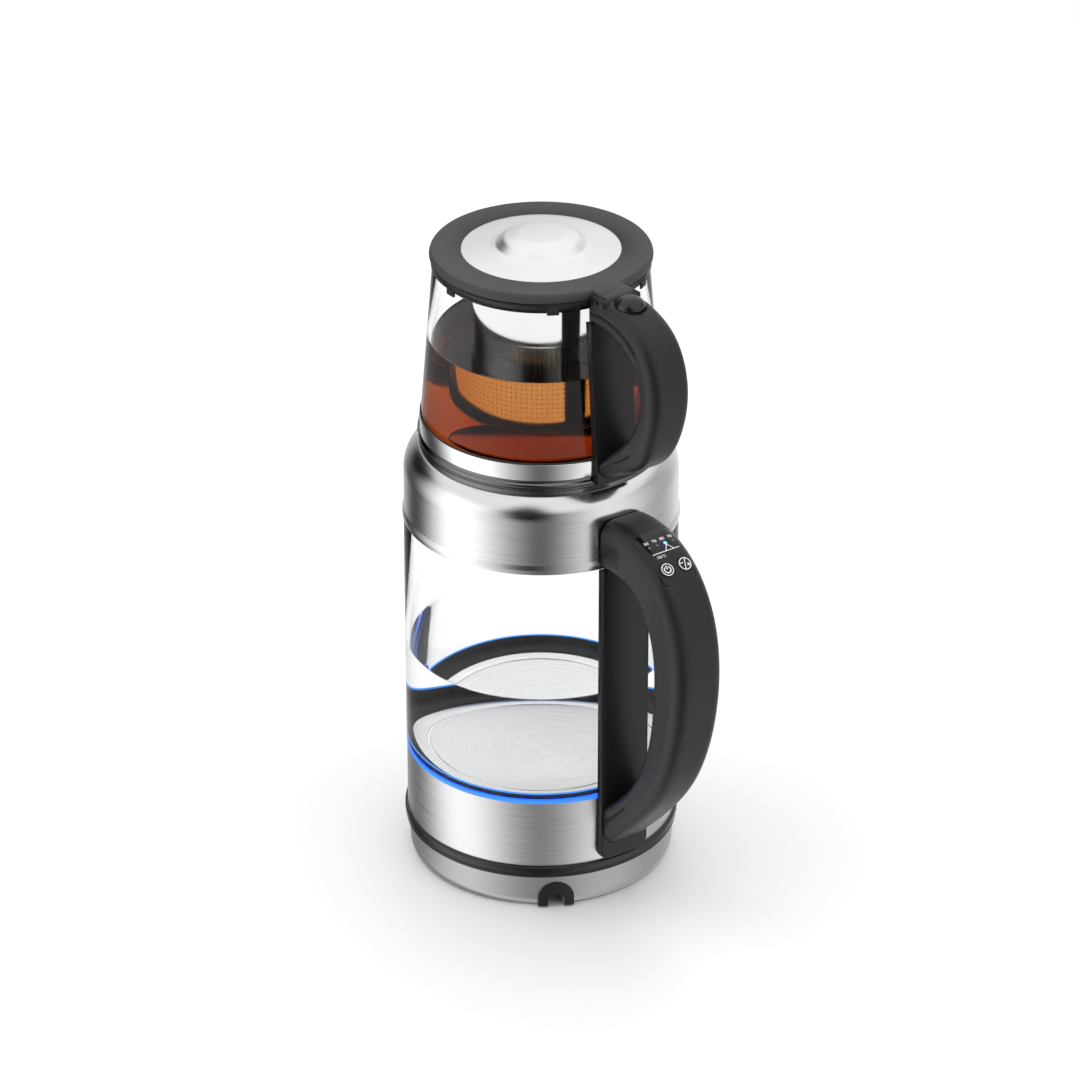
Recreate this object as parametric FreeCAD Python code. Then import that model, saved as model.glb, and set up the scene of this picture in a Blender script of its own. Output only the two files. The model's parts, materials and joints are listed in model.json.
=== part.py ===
import FreeCAD, Part
import math
import os

V = FreeCAD.Vector
os.makedirs("parts", exist_ok=True)

# Automatic tea maker: power base, glass kettle with a handle, teapot on its mouth.
# Millimetres, +Z up, origin on the table on the kettle's axis, handles along +X, spout along -X.

# Clearances
RUN = 0.3          # between bodies that move past each other
SEAT = 0.1         # between rigid pieces of one body
PIN_RUN = 0.05     # round a hinge pin

# Overall sizes
BODY_R = 75.0          # kettle's lower band
POT_R = 66.0           # teapot's bottom band
GLASS_H = 144.0        # kettle glass
POT_GLASS_H = 86.8     # teapot glass above its band

# Base
FOOT_PROUD = 1.0
FOOT_R = 6.0
FOOT_IN = 18.4         # feet and screws in from the skirt
SCREWS_IN = 30.4
FOOT_DEPTH = 1.6
RIM_OVER = 1.0         # top plate's rim beyond the body
RIM_H = 2.5
SKIRT_UNDER = 1.6      # skirt in from the rim, at its top, bulge and foot
SKIRT_BULGE_IN = 0.7
SKIRT_LOW_IN = 3.0
SKIRT_BULGE_UP = 6.0
SKIRT_H = 19.0
SKIRT_WALL = 1.0
DECK_IN = 7.0
DECK_SUNK = 1.0
DECK_T = 2.1
BEVEL = 1.5
RIM_SOFT = 0.6
BOTTOM_PLATE_T = 2.4
BOTTOM_PLATE_UP = 1.0
BASE_BOSS_R = 4.0
FEET_TURN = 22.0
SCREW_TURN = 45.0
FOOT_COUNT = 4
SCREW_R = 1.5
SCREW_HEAD_R = 2.9
SCREW_HEAD_T = 1.8
SCREW_SINK = 0.9
SCREW_BITE = 7.0
SCREW_SLOT_L = 4.0
SCREW_SLOT_W = 0.8

# Cord outlet arch in the skirt
OUTLET_ANGLE = -29.6
OUTLET_W = 20.0
OUTLET_H = 14.5
OUTLET_HOLE_W = 9.0
OUTLET_HOLE_H = 7.7
OUTLET_PROUD = 0.6
OUTLET_DEEP = 15.0

# Round power socket on the base and the kettle's coupler over it
SOCKET_R = 17.5
SOCKET_H = 13.0
SOCKET_FLANGE_R = 23.0
SOCKET_FLANGE_T = 2.2
SOCKET_FOOT = 3.0
SLOT_R0 = 7.6
SLOT_R1 = 12.0
SLOT_DEEP = 11.0
SLEEVE_R = 3.0
CLIP_T = 0.7
CLIP_SUNK = 2.0
TAB_L = 7.0
TAB_W = 6.3
TAB_T = 0.8
PIN_R = 1.7
RING_R = 10.6
RING_T = 0.8
COUPLER_R = 26.0
COUPLER_RUN = 0.8
COUPLER_ROOM = 2.0
COUPLER_ROOF = 4.0

# Kettle body
RING_OVER = 1.5        # bottom ring beyond the body
RING_H = 4.0
COVER_T = 3.0
COVER_RIM_H = 6.0
COVER_RIM_T = 1.6
COVER_WELL_H = 8.0
BAND_TOP_UP = 40.3
BAND_WALL = 0.8
LIGHT_H = 2.2
LIGHT_T = 1.1
LIGHT_DEEP = 5.0
GLASS_OVER = 0.3       # glass beyond the body
GLASS_WALL = 2.4
PLATE_IN = 13.6
PLATE_T = 1.2
PLATE_STEP = 1.6
PLATE_FLANGE_W = 7.6
PLATE_BELOW_GLASS = 4.0
PLATE_GROOVE_IN = 7.4
PLATE_GROOVE_W = 1.0
PLATE_GROOVE_D = 0.6
SEAL_LIP_H = 2.6
SEAL_LIP_T = 1.3
SEAL_RISE = 1.4
CLAMP_OUT = 2.1
CLAMP_WALL = 2.0
ELEMENT_IN = 15.4
ELEMENT_TUBE_R = 3.5
ELEMENT_SWEEP = 320.0
TERMINAL_R = 1.4
TERMINAL_L = 16.0
TERMINAL_IN = 4.0      # degrees from the ends of the element
THERMOSTAT_R = 8.0
THERMOSTAT_X = 18.0
THERMOSTAT_T = 4.0
SENSOR_R = 2.6
SENSOR_L = 9.0
SENSOR_X = -16.0
SENSOR_Y = 12.0
BOARD_T = 1.4
LED_COUNT = 12
LED_SIZE = 1.6
LED_GAP = 0.2
LED_TURN = 15.0

# Upper band, shoulder and neck
LIP_WALL = 0.6
LIP_H = 2.6
LIP_OVER = 3.2
LIP_SLOPE = 2.6
UPPER_OVER = 0.1
SHOULDER_ROUND = 17.0
SHOULDER_H = 41.5      # above the glass
UPPER_SEAL_H = 3.0
UPPER_SEAL_LIP = 1.2
NECK_OVER = 0.5        # neck beyond the teapot's band
NECK_H = 8.7
NECK_STEP = 0.5
NECK_WALL = 6.5
MOUTH_IN = 10.5
SPOUT_HALF = 54        # degrees each side of the spout's axis
SPOUT_BEAK_HALF = 26
SPOUT_STATIONS = 12
SPOUT_REACH = 17.5     # beak beyond the neck
SPOUT_FLARE = 3.3      # wings beyond the neck
SPOUT_RISE = 17.0
SPOUT_WALL = 1.0
NOTCH_W = 32.0
NOTCH_H = 5.5
NOTCH_UP = 2.0

# Kettle handle; reaches are from the body, heights from the glass or the band
STRIP_W = 32.0
STRIP_OUT = 1.2
STRIP_T = 3.3
STRIP_UP = 2.5
STRIP_CORNER = 5.0
STRIP_ROUND = 1.4
GRIP_W = 31.0
GRIP_ROUND = 8.5
GRIP_INNER_ROUND = 4.0
GRIP_WALL = 2.4
GRIP_ROOT = 0.4
GRIP_OUT = 71.3
GRIP_IN = 46.2
GRIP_MID = 0.6458      # share of the glass height
ARM_TOP_UP = 25.3      # above the glass
ARM_UNDER_DOWN = 3.1   # below the top of the glass
ARM_LOW_OUT_UP = 12.0  # above the bottom ring
ARM_LOW_IN_UP = 37.5
PARTING = 0.36         # share of the thickness that belongs to the inner shell

# Control panel in the top of the handle
PANEL_AT = 0.152       # where along the outer outline the panel's centre is
PANEL_L = 34.0
PANEL_W = 25.2
PANEL_T = 2.6
PANEL_ROUND = 5.0
PANEL_LEDGE = 2.0
KEY_R = 4.5
KEY_SPREAD = 5.8
KEY_FORWARD = 8.6
KEY_T = 3.4
KEY_PROUD = 0.3
KEY_SOFT = 0.5
KEY_TRAVEL = 0.6
KEY_RUN = 0.15
SWITCH_H = 1.2
SWITCH_W = 4.0
SWITCH_GAP = 0.2
BOARD_L = 22.0
BOARD_W = 18.0
BOARD_BACK = 12.0
LOOM_W = 7.0
LOOM_T = 1.2
LOOM_ROOM = 0.5
LOOM_UP = 9.0
LOOM_IN = 21.0
LOOM_LOW = 8.0
HANDLE_SCREW_R = 1.25
HANDLE_SCREW_HEAD_R = 2.6
HANDLE_SCREW_HEAD_T = 1.6
HANDLE_SCREW_Y = 9.5
HANDLE_SCREW_LOW = 16.0
HANDLE_SCREW_HIGH = 12.0
HANDLE_SCREW_BITE = 4.0

# Teapot
POT_BAND_H = 9.5
POT_BAND_WALL = 0.8
POT_BAND_SOFT = 1.2
POT_BAND_FLOOR = 1.4
SPIGOT_WALL = 2.0
SPIGOT_GAP = 0.6
SPIGOT_DEEP = 4.0
POT_SEAL_H = 1.1
POT_LOW_IN = 0.7
POT_TAPER = 7.0
POT_WALL = 2.5
POT_FLOOR = 3.0
POT_UP = 1.5
COLLAR_OVER = 0.7
COLLAR_H = 3.4
COLLAR_SOFT = 0.5
BORE_IN = 4.5          # collar's bore in from the glass
LEDGE_W = 3.3
LEDGE_DEEP = 6.8
LEDGE_T = 1.5
NUB_COUNT = 6
NUB_TURN = 30.0
NUB_W = 6.4
NUB_H = 2.6
NUB_T = 1.0
NUB_GAP = 0.35
BASKET_IN = 16.2       # in from the collar's bore
BASKET_WALL = 0.7
BASKET_FLANGE_T = 1.0
BASKET_SOFT = 3.0
BASKET_LAP = 8.0
SLEEVE_DOWN = 29.95    # below the collar's ledge
BASKET_UP = 15.75      # above the teapot's seat
WINDOW_COUNT = 16
WINDOW_W = 8.0
WINDOW_H = 18.0
WINDOW_ROWS = 2
WINDOW_GAP = 4.0
WINDOW_UP = 6.0

# Teapot handle; reaches are from the band, heights from the seat or the collar
POT_STRIP_W = 26.0
POT_STRIP_T = 4.3
POT_STRIP_DOWN = 3.75
POT_HANDLE_GAP = 0.35
POT_GRIP_W = 26.0
POT_GRIP_ROUND = 7.0
POT_GRIP_INNER_ROUND = 3.0
POT_GRIP_WALL = 2.2
POT_ROOT = 5.2
POT_GRIP_OUT = 51.6
POT_GRIP_IN = 37.8
POT_GRIP_MID = 0.5662  # share of the teapot glass height
POT_ARM_TOP_UP = 2.95  # above the collar
POT_ARM_UNDER_DOWN = 12.05
POT_ARM_LOW_OUT_DOWN = 0.25
POT_ARM_LOW_IN_UP = 10.75
POT_PARTING = 0.45

# Lid, its hinge and the sprung button behind it
LID_GAP = 0.5
LID_OVER = 1.0         # beyond the collar
LID_TAPER = 1.2
LID_T = 5.2
LID_DISC_IN = 17.0
LID_LAP = 3.0
LID_SKIN = 1.6
LID_STEM_IN = 12.0
LID_STEM_H = 3.6
LID_SEAL_IN = 0.8      # in from the collar's bore
LID_SEAL_T = 1.6
LID_SEAL_H = 3.2
KNOB_R = 24.5
KNOB_H = 6.6
DISC_RISE = 1.8
DISC_WALL = 0.8
HINGE_OUT = 7.3        # beyond the lid
HINGE_R = 3.5
HINGE_PIN_R = 1.25
PIN_TIGHT = 0.02
PIN_SHORT = 2.0
TONGUE_HALF = 9.0
EAR_DOWN = 1.45        # below the lid's top
EAR_OUT = 4.4
EAR_IN = 0.6
EAR_ROUND = 1.5
LATCH_OUT = 12.1       # beyond the hinge
LATCH_R = 8.2
LATCH_H = 5.0
LATCH_RIM = 1.6
LATCH_SUNK = 0.6
LATCH_TRAVEL = 2.5
LATCH_WELL = 0.45
LATCH_STEM_R = 4.0
LATCH_STEM_L = 5.5
LATCH_STEM_RUN = 0.25

# Reaches that follow from the sizes above
RIM_R = BODY_R + RIM_OVER
DECK_R = RIM_R - DECK_IN
SKIRT_TOP_R = RIM_R - SKIRT_UNDER
SKIRT_BULGE_R = SKIRT_TOP_R - SKIRT_BULGE_IN
SKIRT_LOW_R = SKIRT_TOP_R - SKIRT_LOW_IN
FOOT_PITCH_R = SKIRT_TOP_R - FOOT_IN
SCREW_PITCH_R = SKIRT_TOP_R - SCREWS_IN
RING_OUT_R = BODY_R + RING_OVER
BAND_IN_R = BODY_R - BAND_WALL
LINER_R = BAND_IN_R - SEAT
GLASS_R = BODY_R + GLASS_OVER
GLASS_IN_R = GLASS_R - GLASS_WALL
PLATE_R = BODY_R - PLATE_IN
PLATE_FLANGE_R = PLATE_R + PLATE_FLANGE_W
CLAMP_R = PLATE_R + CLAMP_OUT
ELEMENT_R = PLATE_R - ELEMENT_IN
LIP_IN_R = GLASS_R + SEAT
LIP_R = LIP_IN_R + LIP_WALL
UPPER_R = BODY_R + UPPER_OVER
UPPER_IN_R = UPPER_R - BAND_WALL
NECK_R = POT_R + NECK_OVER
MOUTH_R = NECK_R - MOUTH_IN
STRIP_IN_R = BODY_R + STRIP_OUT
STRIP_OUT_R = STRIP_IN_R + STRIP_T
SPIGOT_R = MOUTH_R - SPIGOT_GAP
POT_LOW_R = POT_R - POT_LOW_IN
POT_TOP_R = POT_LOW_R - POT_TAPER
COLLAR_R = POT_TOP_R + COLLAR_OVER
BORE_R = POT_TOP_R - BORE_IN
LEDGE_R = BORE_R - LEDGE_W
BASKET_R = BORE_R - BASKET_IN
LID_R = COLLAR_R + LID_OVER
LID_TOP_R = LID_R - LID_TAPER
LID_DISC_R = LID_R - LID_DISC_IN
LID_SEAL_R = BORE_R - LID_SEAL_IN
HINGE_X = LID_R + HINGE_OUT
LATCH_X = HINGE_X + LATCH_OUT

# Heights that follow from the sizes above
Z_SKIRT = FOOT_PROUD
Z_BOTTOM = Z_SKIRT + BOTTOM_PLATE_UP
Z_RIM = Z_SKIRT + SKIRT_H
Z_SEAM = Z_RIM + RIM_H
Z_DECK = Z_SEAM - DECK_SUNK
Z_DECK_LOW = Z_DECK - DECK_T
Z_SOCKET = Z_DECK + SOCKET_H
Z_BAND = Z_SEAM + RING_H
Z_LIGHT = Z_BAND + BAND_TOP_UP
Z_GLASS = Z_LIGHT + LIGHT_H
Z_PLATE = Z_GLASS - PLATE_BELOW_GLASS
Z_PLATE_LOW = Z_PLATE - PLATE_T
Z_PLATE_LEDGE = Z_PLATE - PLATE_STEP
Z_GLASS_TOP = Z_GLASS + GLASS_H
Z_LIP = Z_GLASS_TOP - LIP_OVER
SHOULDER_C = UPPER_R - SHOULDER_ROUND
SHOULDER_CZ = Z_GLASS_TOP + SHOULDER_H - SHOULDER_ROUND
Z_NECK = SHOULDER_CZ + math.sqrt(SHOULDER_ROUND ** 2 - (NECK_R - NECK_STEP - SHOULDER_C) ** 2)
Z_SEAT = Z_NECK + NECK_H
Z_STRIP = Z_BAND + STRIP_UP
Z_ARM_TOP = Z_GLASS_TOP + ARM_TOP_UP
Z_ARM_UNDER = Z_GLASS_TOP - ARM_UNDER_DOWN
Z_GRIP = Z_GLASS + GLASS_H * GRIP_MID
Z_ARM_LOW_OUT = Z_BAND + ARM_LOW_OUT_UP
Z_ARM_LOW_IN = Z_BAND + ARM_LOW_IN_UP
Z_POT_GLASS = Z_SEAT + POT_UP
Z_POT_LOW = Z_SEAT + POT_BAND_H + POT_SEAL_H
Z_POT_TOP = Z_POT_LOW + POT_GLASS_H
Z_COLLAR_TOP = Z_POT_TOP + COLLAR_H
Z_LEDGE = Z_COLLAR_TOP - LEDGE_DEEP + LEDGE_T
Z_SLEEVE = Z_LEDGE - SLEEVE_DOWN
Z_BASKET = Z_SEAT + BASKET_UP
Z_POT_STRIP = Z_SEAT - POT_STRIP_DOWN
Z_POT_ARM_TOP = Z_COLLAR_TOP + POT_ARM_TOP_UP
Z_POT_ARM_UNDER = Z_COLLAR_TOP - POT_ARM_UNDER_DOWN
Z_POT_GRIP = Z_POT_LOW + POT_GLASS_H * POT_GRIP_MID
Z_POT_ARM_LOW_OUT = Z_SEAT - POT_ARM_LOW_OUT_DOWN
Z_POT_ARM_LOW_IN = Z_SEAT + POT_ARM_LOW_IN_UP
Z_LID = Z_COLLAR_TOP + LID_GAP
Z_LID_TOP = Z_LID + LID_T
Z_HINGE = Z_LID_TOP - HINGE_R
FAR = 4 * BODY_R       # reach of a cutting block that clears everything
HIGH = 2 * Z_LID_TOP


def save(name, *solids):
    shape = solids[0] if len(solids) == 1 else Part.makeCompound(list(solids))
    shape.exportStep("parts/" + name + ".step")
    print(name, round(shape.Volume), shape.isValid())


def lathe(*points):
    """Solid of revolution; a point is (reach, height), or ("arc", middle, end)."""
    edges = []
    first = V(points[0][0], 0, points[0][1])
    last = first
    for p in points[1:]:
        if p[0] == "arc":
            end = V(p[2][0], 0, p[2][1])
            edges.append(Part.Arc(last, V(p[1][0], 0, p[1][1]), end).toShape())
        else:
            end = V(p[0], 0, p[1])
            edges.append(Part.makeLine(last, end))
        last = end
    edges.append(Part.makeLine(last, first))
    face = Part.Face(Part.Wire(edges))
    return face.revolve(V(0, 0, 0), V(0, 0, 1), 360)


def tube(r_in, r_out, low, high):
    return lathe((r_in, low), (r_out, low), (r_out, high), (r_in, high))


def post(r, low, high, x=0.0, y=0.0):
    return Part.makeCylinder(r, high - low, V(x, y, low))


def rod_x(r, x0, x1, y, z):
    return Part.makeCylinder(r, x1 - x0, V(x0, y, z), V(1, 0, 0))


def rod_y(r, half, x, z):
    return Part.makeCylinder(r, 2 * half, V(x, -half, z), V(0, 1, 0))


def block(x0, x1, half_w, low, high):
    return Part.makeBox(x1 - x0, 2 * half_w, high - low, V(x0, -half_w, low))


def around(shape, count, first=0.0):
    copies = []
    for i in range(count):
        one = shape.copy()
        one.rotate(V(0, 0, 0), V(0, 0, 1), first + 360.0 * i / count)
        copies.append(one)
    return copies


def arc_point(cx, cz, r, degrees):
    a = math.radians(degrees)
    return (cx + r * math.cos(a), cz + r * math.sin(a))


def quarter(x, z, r, sx, sz):
    """Middle point of the quarter arc that rounds the corner (x, z); the signs point into the piece."""
    k = r * (1 - math.sqrt(0.5))
    return (x + sx * k, z + sz * k)


def fuse(first, *others):
    return first.fuse(list(others)).removeSplitter()


def cut(first, *others):
    return first.cut(list(others))


def chord(r, y):
    """How far out a round wall of that radius is at a distance to the side."""
    return math.sqrt(r ** 2 - y ** 2)


# Base pieces
def make_base():
    def skirt_line(inset):
        low = (SKIRT_LOW_R - inset, Z_SKIRT)
        bulge = (SKIRT_BULGE_R - inset, Z_SKIRT + SKIRT_BULGE_UP)
        mid = (SKIRT_LOW_R + 0.72 * (SKIRT_BULGE_R - SKIRT_LOW_R) - inset, Z_SKIRT + 0.4 * SKIRT_BULGE_UP)
        return low, mid, bulge, (SKIRT_TOP_R - inset, Z_RIM)

    def arch(width, height, from_x):
        r = width / 2
        z = Z_SKIRT + height - r
        shape = block(from_x, FAR, r, 0, z).fuse(rod_x(r, from_x, FAR, 0, z)).removeSplitter()
        shape.rotate(V(0, 0, 0), V(0, 0, 1), OUTLET_ANGLE)
        return shape

    outlet_x = SKIRT_LOW_R - OUTLET_DEEP
    low, mid, bulge, top = skirt_line(0)
    low_i, mid_i, bulge_i, top_i = skirt_line(SKIRT_WALL)
    skirt = lathe(low, ("arc", mid, bulge), top, top_i, bulge_i, ("arc", mid_i, low_i))
    save("base_skirt", cut(skirt, arch(OUTLET_W + 2 * SEAT, OUTLET_H + SEAT, outlet_x)))

    outlet = arch(OUTLET_W, OUTLET_H, outlet_x).common(post(SKIRT_TOP_R + OUTLET_PROUD, Z_SKIRT, Z_RIM))
    save("cord_outlet", cut(outlet, arch(OUTLET_HOLE_W, OUTLET_HOLE_H, 0.0)))

    inner = SKIRT_TOP_R - SKIRT_WALL - 3 * SEAT
    bore = SOCKET_R + SEAT
    top_plate = lathe(
        (bore, Z_DECK), (DECK_R, Z_DECK), (DECK_R + BEVEL, Z_SEAM), (RIM_R - RIM_SOFT, Z_SEAM),
        ("arc", quarter(RIM_R, Z_SEAM, RIM_SOFT, -1, -1), (RIM_R, Z_SEAM - RIM_SOFT)), (RIM_R,
        Z_RIM), (inner, Z_RIM),
        (inner, Z_RIM - RIM_H), (inner - COVER_RIM_T, Z_RIM - RIM_H), (inner - COVER_RIM_T,
        Z_DECK_LOW), (bore, Z_DECK_LOW))
    plate_top = Z_BOTTOM + BOTTOM_PLATE_T
    boss = post(BASE_BOSS_R, plate_top, Z_DECK_LOW + SEAT, SCREW_PITCH_R)
    boss = cut(boss, post(SCREW_R, plate_top, plate_top + SCREW_BITE + 1, SCREW_PITCH_R))
    save("base_top_plate", fuse(top_plate, *around(boss, FOOT_COUNT, SCREW_TURN)))

    sunk = Z_BOTTOM + SCREW_SINK
    bottom = post(SKIRT_LOW_R - SKIRT_WALL - SEAT, Z_BOTTOM, plate_top)
    bottom = cut(bottom, arch(OUTLET_W + 2 * SEAT, OUTLET_H, outlet_x - SEAT))
    hole = post(SCREW_R + SEAT, Z_BOTTOM, plate_top, SCREW_PITCH_R)
    sink = post(SCREW_HEAD_R + SEAT, 0, sunk, SCREW_PITCH_R)
    pocket = post(FOOT_R + SEAT, 0, FOOT_DEPTH + FOOT_PROUD, FOOT_PITCH_R)
    holes = around(hole, FOOT_COUNT, SCREW_TURN) + around(sink, FOOT_COUNT, SCREW_TURN)
    save("base_bottom_plate", cut(bottom, *(holes + around(pocket, FOOT_COUNT, FEET_TURN))))

    foot = Part.makeCone(0.9 * FOOT_R, FOOT_R, FOOT_DEPTH + FOOT_PROUD, V(FOOT_PITCH_R, 0, 0))
    save("base_feet", *around(foot, FOOT_COUNT, FEET_TURN))

    head_low = sunk - SCREW_HEAD_T
    screw = fuse(post(SCREW_HEAD_R, head_low, sunk, SCREW_PITCH_R),
                 post(SCREW_R - SEAT, sunk, plate_top + SCREW_BITE, SCREW_PITCH_R))
    corner = V(SCREW_PITCH_R - SCREW_SLOT_L / 2, -SCREW_SLOT_W / 2, head_low)
    drive = Part.makeBox(SCREW_SLOT_L, SCREW_SLOT_W, SCREW_HEAD_T / 2, corner)
    save("base_screws", *around(cut(screw, drive), FOOT_COUNT, SCREW_TURN))

    flange_z = Z_DECK_LOW - SOCKET_FLANGE_T
    foot_r = SOCKET_R - 2
    socket = lathe(
        (0, flange_z - SOCKET_FOOT), (foot_r, flange_z - SOCKET_FOOT), (foot_r,
        flange_z), (SOCKET_FLANGE_R, flange_z),
        (SOCKET_FLANGE_R, Z_DECK_LOW), (SOCKET_R, Z_DECK_LOW), (SOCKET_R, Z_SOCKET - BEVEL),
        ("arc", quarter(SOCKET_R, Z_SOCKET, BEVEL, -1, -1), (SOCKET_R - BEVEL, Z_SOCKET)), (0, Z_SOCKET))
    slot_z = Z_SOCKET - SLOT_DEEP
    slots = (tube(SLOT_R0, SLOT_R1, slot_z, Z_SOCKET + 1), post(SLEEVE_R, slot_z, Z_SOCKET + 1))
    save("base_socket", cut(socket, *slots))

    clip = tube(SLOT_R0 + SEAT, SLOT_R0 + SEAT + CLIP_T, slot_z, Z_SOCKET - CLIP_SUNK)
    sleeve = tube(SLEEVE_R - SEAT - CLIP_T, SLEEVE_R - SEAT, slot_z, Z_SOCKET - CLIP_SUNK)
    tab = Part.makeBox(TAB_T, TAB_W, TAB_L, V(SLOT_R0, -TAB_W / 2, flange_z - SOCKET_FOOT - TAB_L))
    save("base_contacts", clip, sleeve, *around(tab, 3))


# Kettle pieces below the glass
def make_kettle_low():
    roof = Z_SOCKET + COUPLER_ROOM
    roof_top = roof + COUPLER_ROOF
    low = Z_DECK + RUN
    bore = SOCKET_R + COUPLER_RUN
    save("kettle_coupler", lathe(
        (bore, low), (COUPLER_R, low), (COUPLER_R, roof_top - 1), (COUPLER_R - 1, roof_top), (0,
        roof_top), (0, roof),
        (bore, roof)))
    pin_low = Z_SOCKET - SLOT_DEEP + 2
    save("coupler_pins", post(PIN_R, pin_low, roof), tube(RING_R - RING_T / 2, RING_R + RING_T / 2,
        pin_low, roof))

    hole = COUPLER_R + RUN
    well = hole + 2
    floor = Z_SEAM + COVER_T
    rim_in = LINER_R - COVER_RIM_T
    save("kettle_bottom_cover", lathe(
        (hole, Z_SEAM + RUN), (well, Z_SEAM + RUN), (well + BEVEL, Z_SEAM), (RING_OUT_R - RIM_SOFT, Z_SEAM),
        ("arc", quarter(RING_OUT_R, Z_SEAM, RIM_SOFT, -1, 1), (RING_OUT_R, Z_SEAM + RIM_SOFT)),
        (RING_OUT_R, Z_BAND - RIM_SOFT),
        ("arc", quarter(RING_OUT_R, Z_BAND, RIM_SOFT, -1, -1), (RING_OUT_R - RIM_SOFT, Z_BAND)),
        (LINER_R, Z_BAND), (LINER_R, Z_BAND + COVER_RIM_H), (rim_in, Z_BAND + COVER_RIM_H), (rim_in, floor),
        (well, floor), (well, floor + COVER_WELL_H), (hole, floor + COVER_WELL_H)))

    sides = (-HANDLE_SCREW_Y, HANDLE_SCREW_Y)
    screw_z = Z_STRIP + HANDLE_SCREW_LOW
    loom_z = Z_STRIP + LOOM_LOW
    loom_hole = block(0, FAR, LOOM_W / 2 + LOOM_ROOM, loom_z - LOOM_ROOM, loom_z + LOOM_T + LOOM_ROOM)
    screws = [rod_x(HANDLE_SCREW_R + SEAT, 0, FAR, y, screw_z) for y in sides]
    save("kettle_lower_band", cut(tube(BAND_IN_R, BODY_R, Z_BAND, Z_LIGHT), loom_hole, *screws))

    lit_in = LINER_R - LIGHT_T
    lit_low = Z_LIGHT - LIGHT_DEEP
    lit_out = GLASS_R - 2 * SEAT
    save("light_ring", lathe(
        (lit_in, lit_low), (LINER_R, lit_low), (LINER_R, Z_LIGHT), (lit_out, Z_LIGHT), (lit_out,
        Z_GLASS), (lit_in, Z_GLASS)))

    mid = PLATE_R - PLATE_GROOVE_IN
    half = PLATE_GROOVE_W / 2
    flange_low = Z_PLATE_LEDGE - PLATE_T
    save("heater_plate", lathe(
        (0, Z_PLATE_LOW), (0, Z_PLATE), (mid - half, Z_PLATE), (mid - half, Z_PLATE - PLATE_GROOVE_D),
        (mid + half, Z_PLATE - PLATE_GROOVE_D), (mid + half, Z_PLATE), (PLATE_R, Z_PLATE), (PLATE_R,
        Z_PLATE_LEDGE),
        (PLATE_FLANGE_R, Z_PLATE_LEDGE), (PLATE_FLANGE_R, flange_low), (PLATE_R - PLATE_T, flange_low),
        (PLATE_R - PLATE_T, Z_PLATE_LOW)))
    seal_in = PLATE_R + SEAT
    seal_out = lit_in - SEAT
    seal_top = Z_PLATE + SEAL_RISE
    save("glass_seal_lower", lathe(
        (seal_in, Z_PLATE_LEDGE), (seal_in, Z_PLATE + SEAL_RISE / 3), (seal_in + 2, seal_top),
        (seal_out - SEAL_LIP_T, seal_top), (seal_out - SEAL_LIP_T, Z_GLASS + SEAL_LIP_H), (seal_out,
        Z_GLASS + SEAL_LIP_H),
        (seal_out, Z_PLATE_LEDGE)))

    clamp_out = CLAMP_R + CLAMP_WALL
    foot_out = rim_in - SEAT
    save("clamp_ring", lathe(
        (CLAMP_R, floor), (foot_out, floor), (foot_out, floor + CLAMP_WALL), (clamp_out,
        floor + CLAMP_WALL),
        (clamp_out, flange_low), (CLAMP_R, flange_low)))
    board_top = lit_low - LED_GAP - LED_SIZE
    save("led_board", tube(clamp_out + SEAT, LINER_R, board_top - BOARD_T, board_top))
    led = Part.makeBox(LED_SIZE, LED_SIZE, LED_SIZE, V(LINER_R - 1.5 * LED_SIZE, -LED_SIZE / 2, board_top))
    save("leds", *around(led, LED_COUNT, LED_TURN))

    tube_z = Z_PLATE_LOW - ELEMENT_TUBE_R
    circle = Part.Wire([Part.makeCircle(ELEMENT_TUBE_R, V(ELEMENT_R, 0, tube_z), V(0, 1, 0))])
    ring = Part.Face(circle).revolve(V(0, 0, 0), V(0, 0, 1), ELEMENT_SWEEP)
    ends = []
    for turn in (TERMINAL_IN, ELEMENT_SWEEP - TERMINAL_IN):
        x, y = arc_point(0, 0, ELEMENT_R, turn)
        ends.append(post(TERMINAL_R, Z_PLATE_LOW - TERMINAL_L, tube_z, x, y))
    save("heating_element", fuse(ring, *ends))
    can_z = Z_PLATE_LOW - THERMOSTAT_T
    save("thermostat", fuse(post(THERMOSTAT_R, can_z, Z_PLATE_LOW, THERMOSTAT_X),
                            post(0.7 * THERMOSTAT_R, can_z - 1.5 * THERMOSTAT_T, can_z, THERMOSTAT_X)))
    save("temperature_sensor", post(SENSOR_R, Z_PLATE_LOW - SENSOR_L, Z_PLATE_LOW, SENSOR_X, SENSOR_Y))


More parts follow.
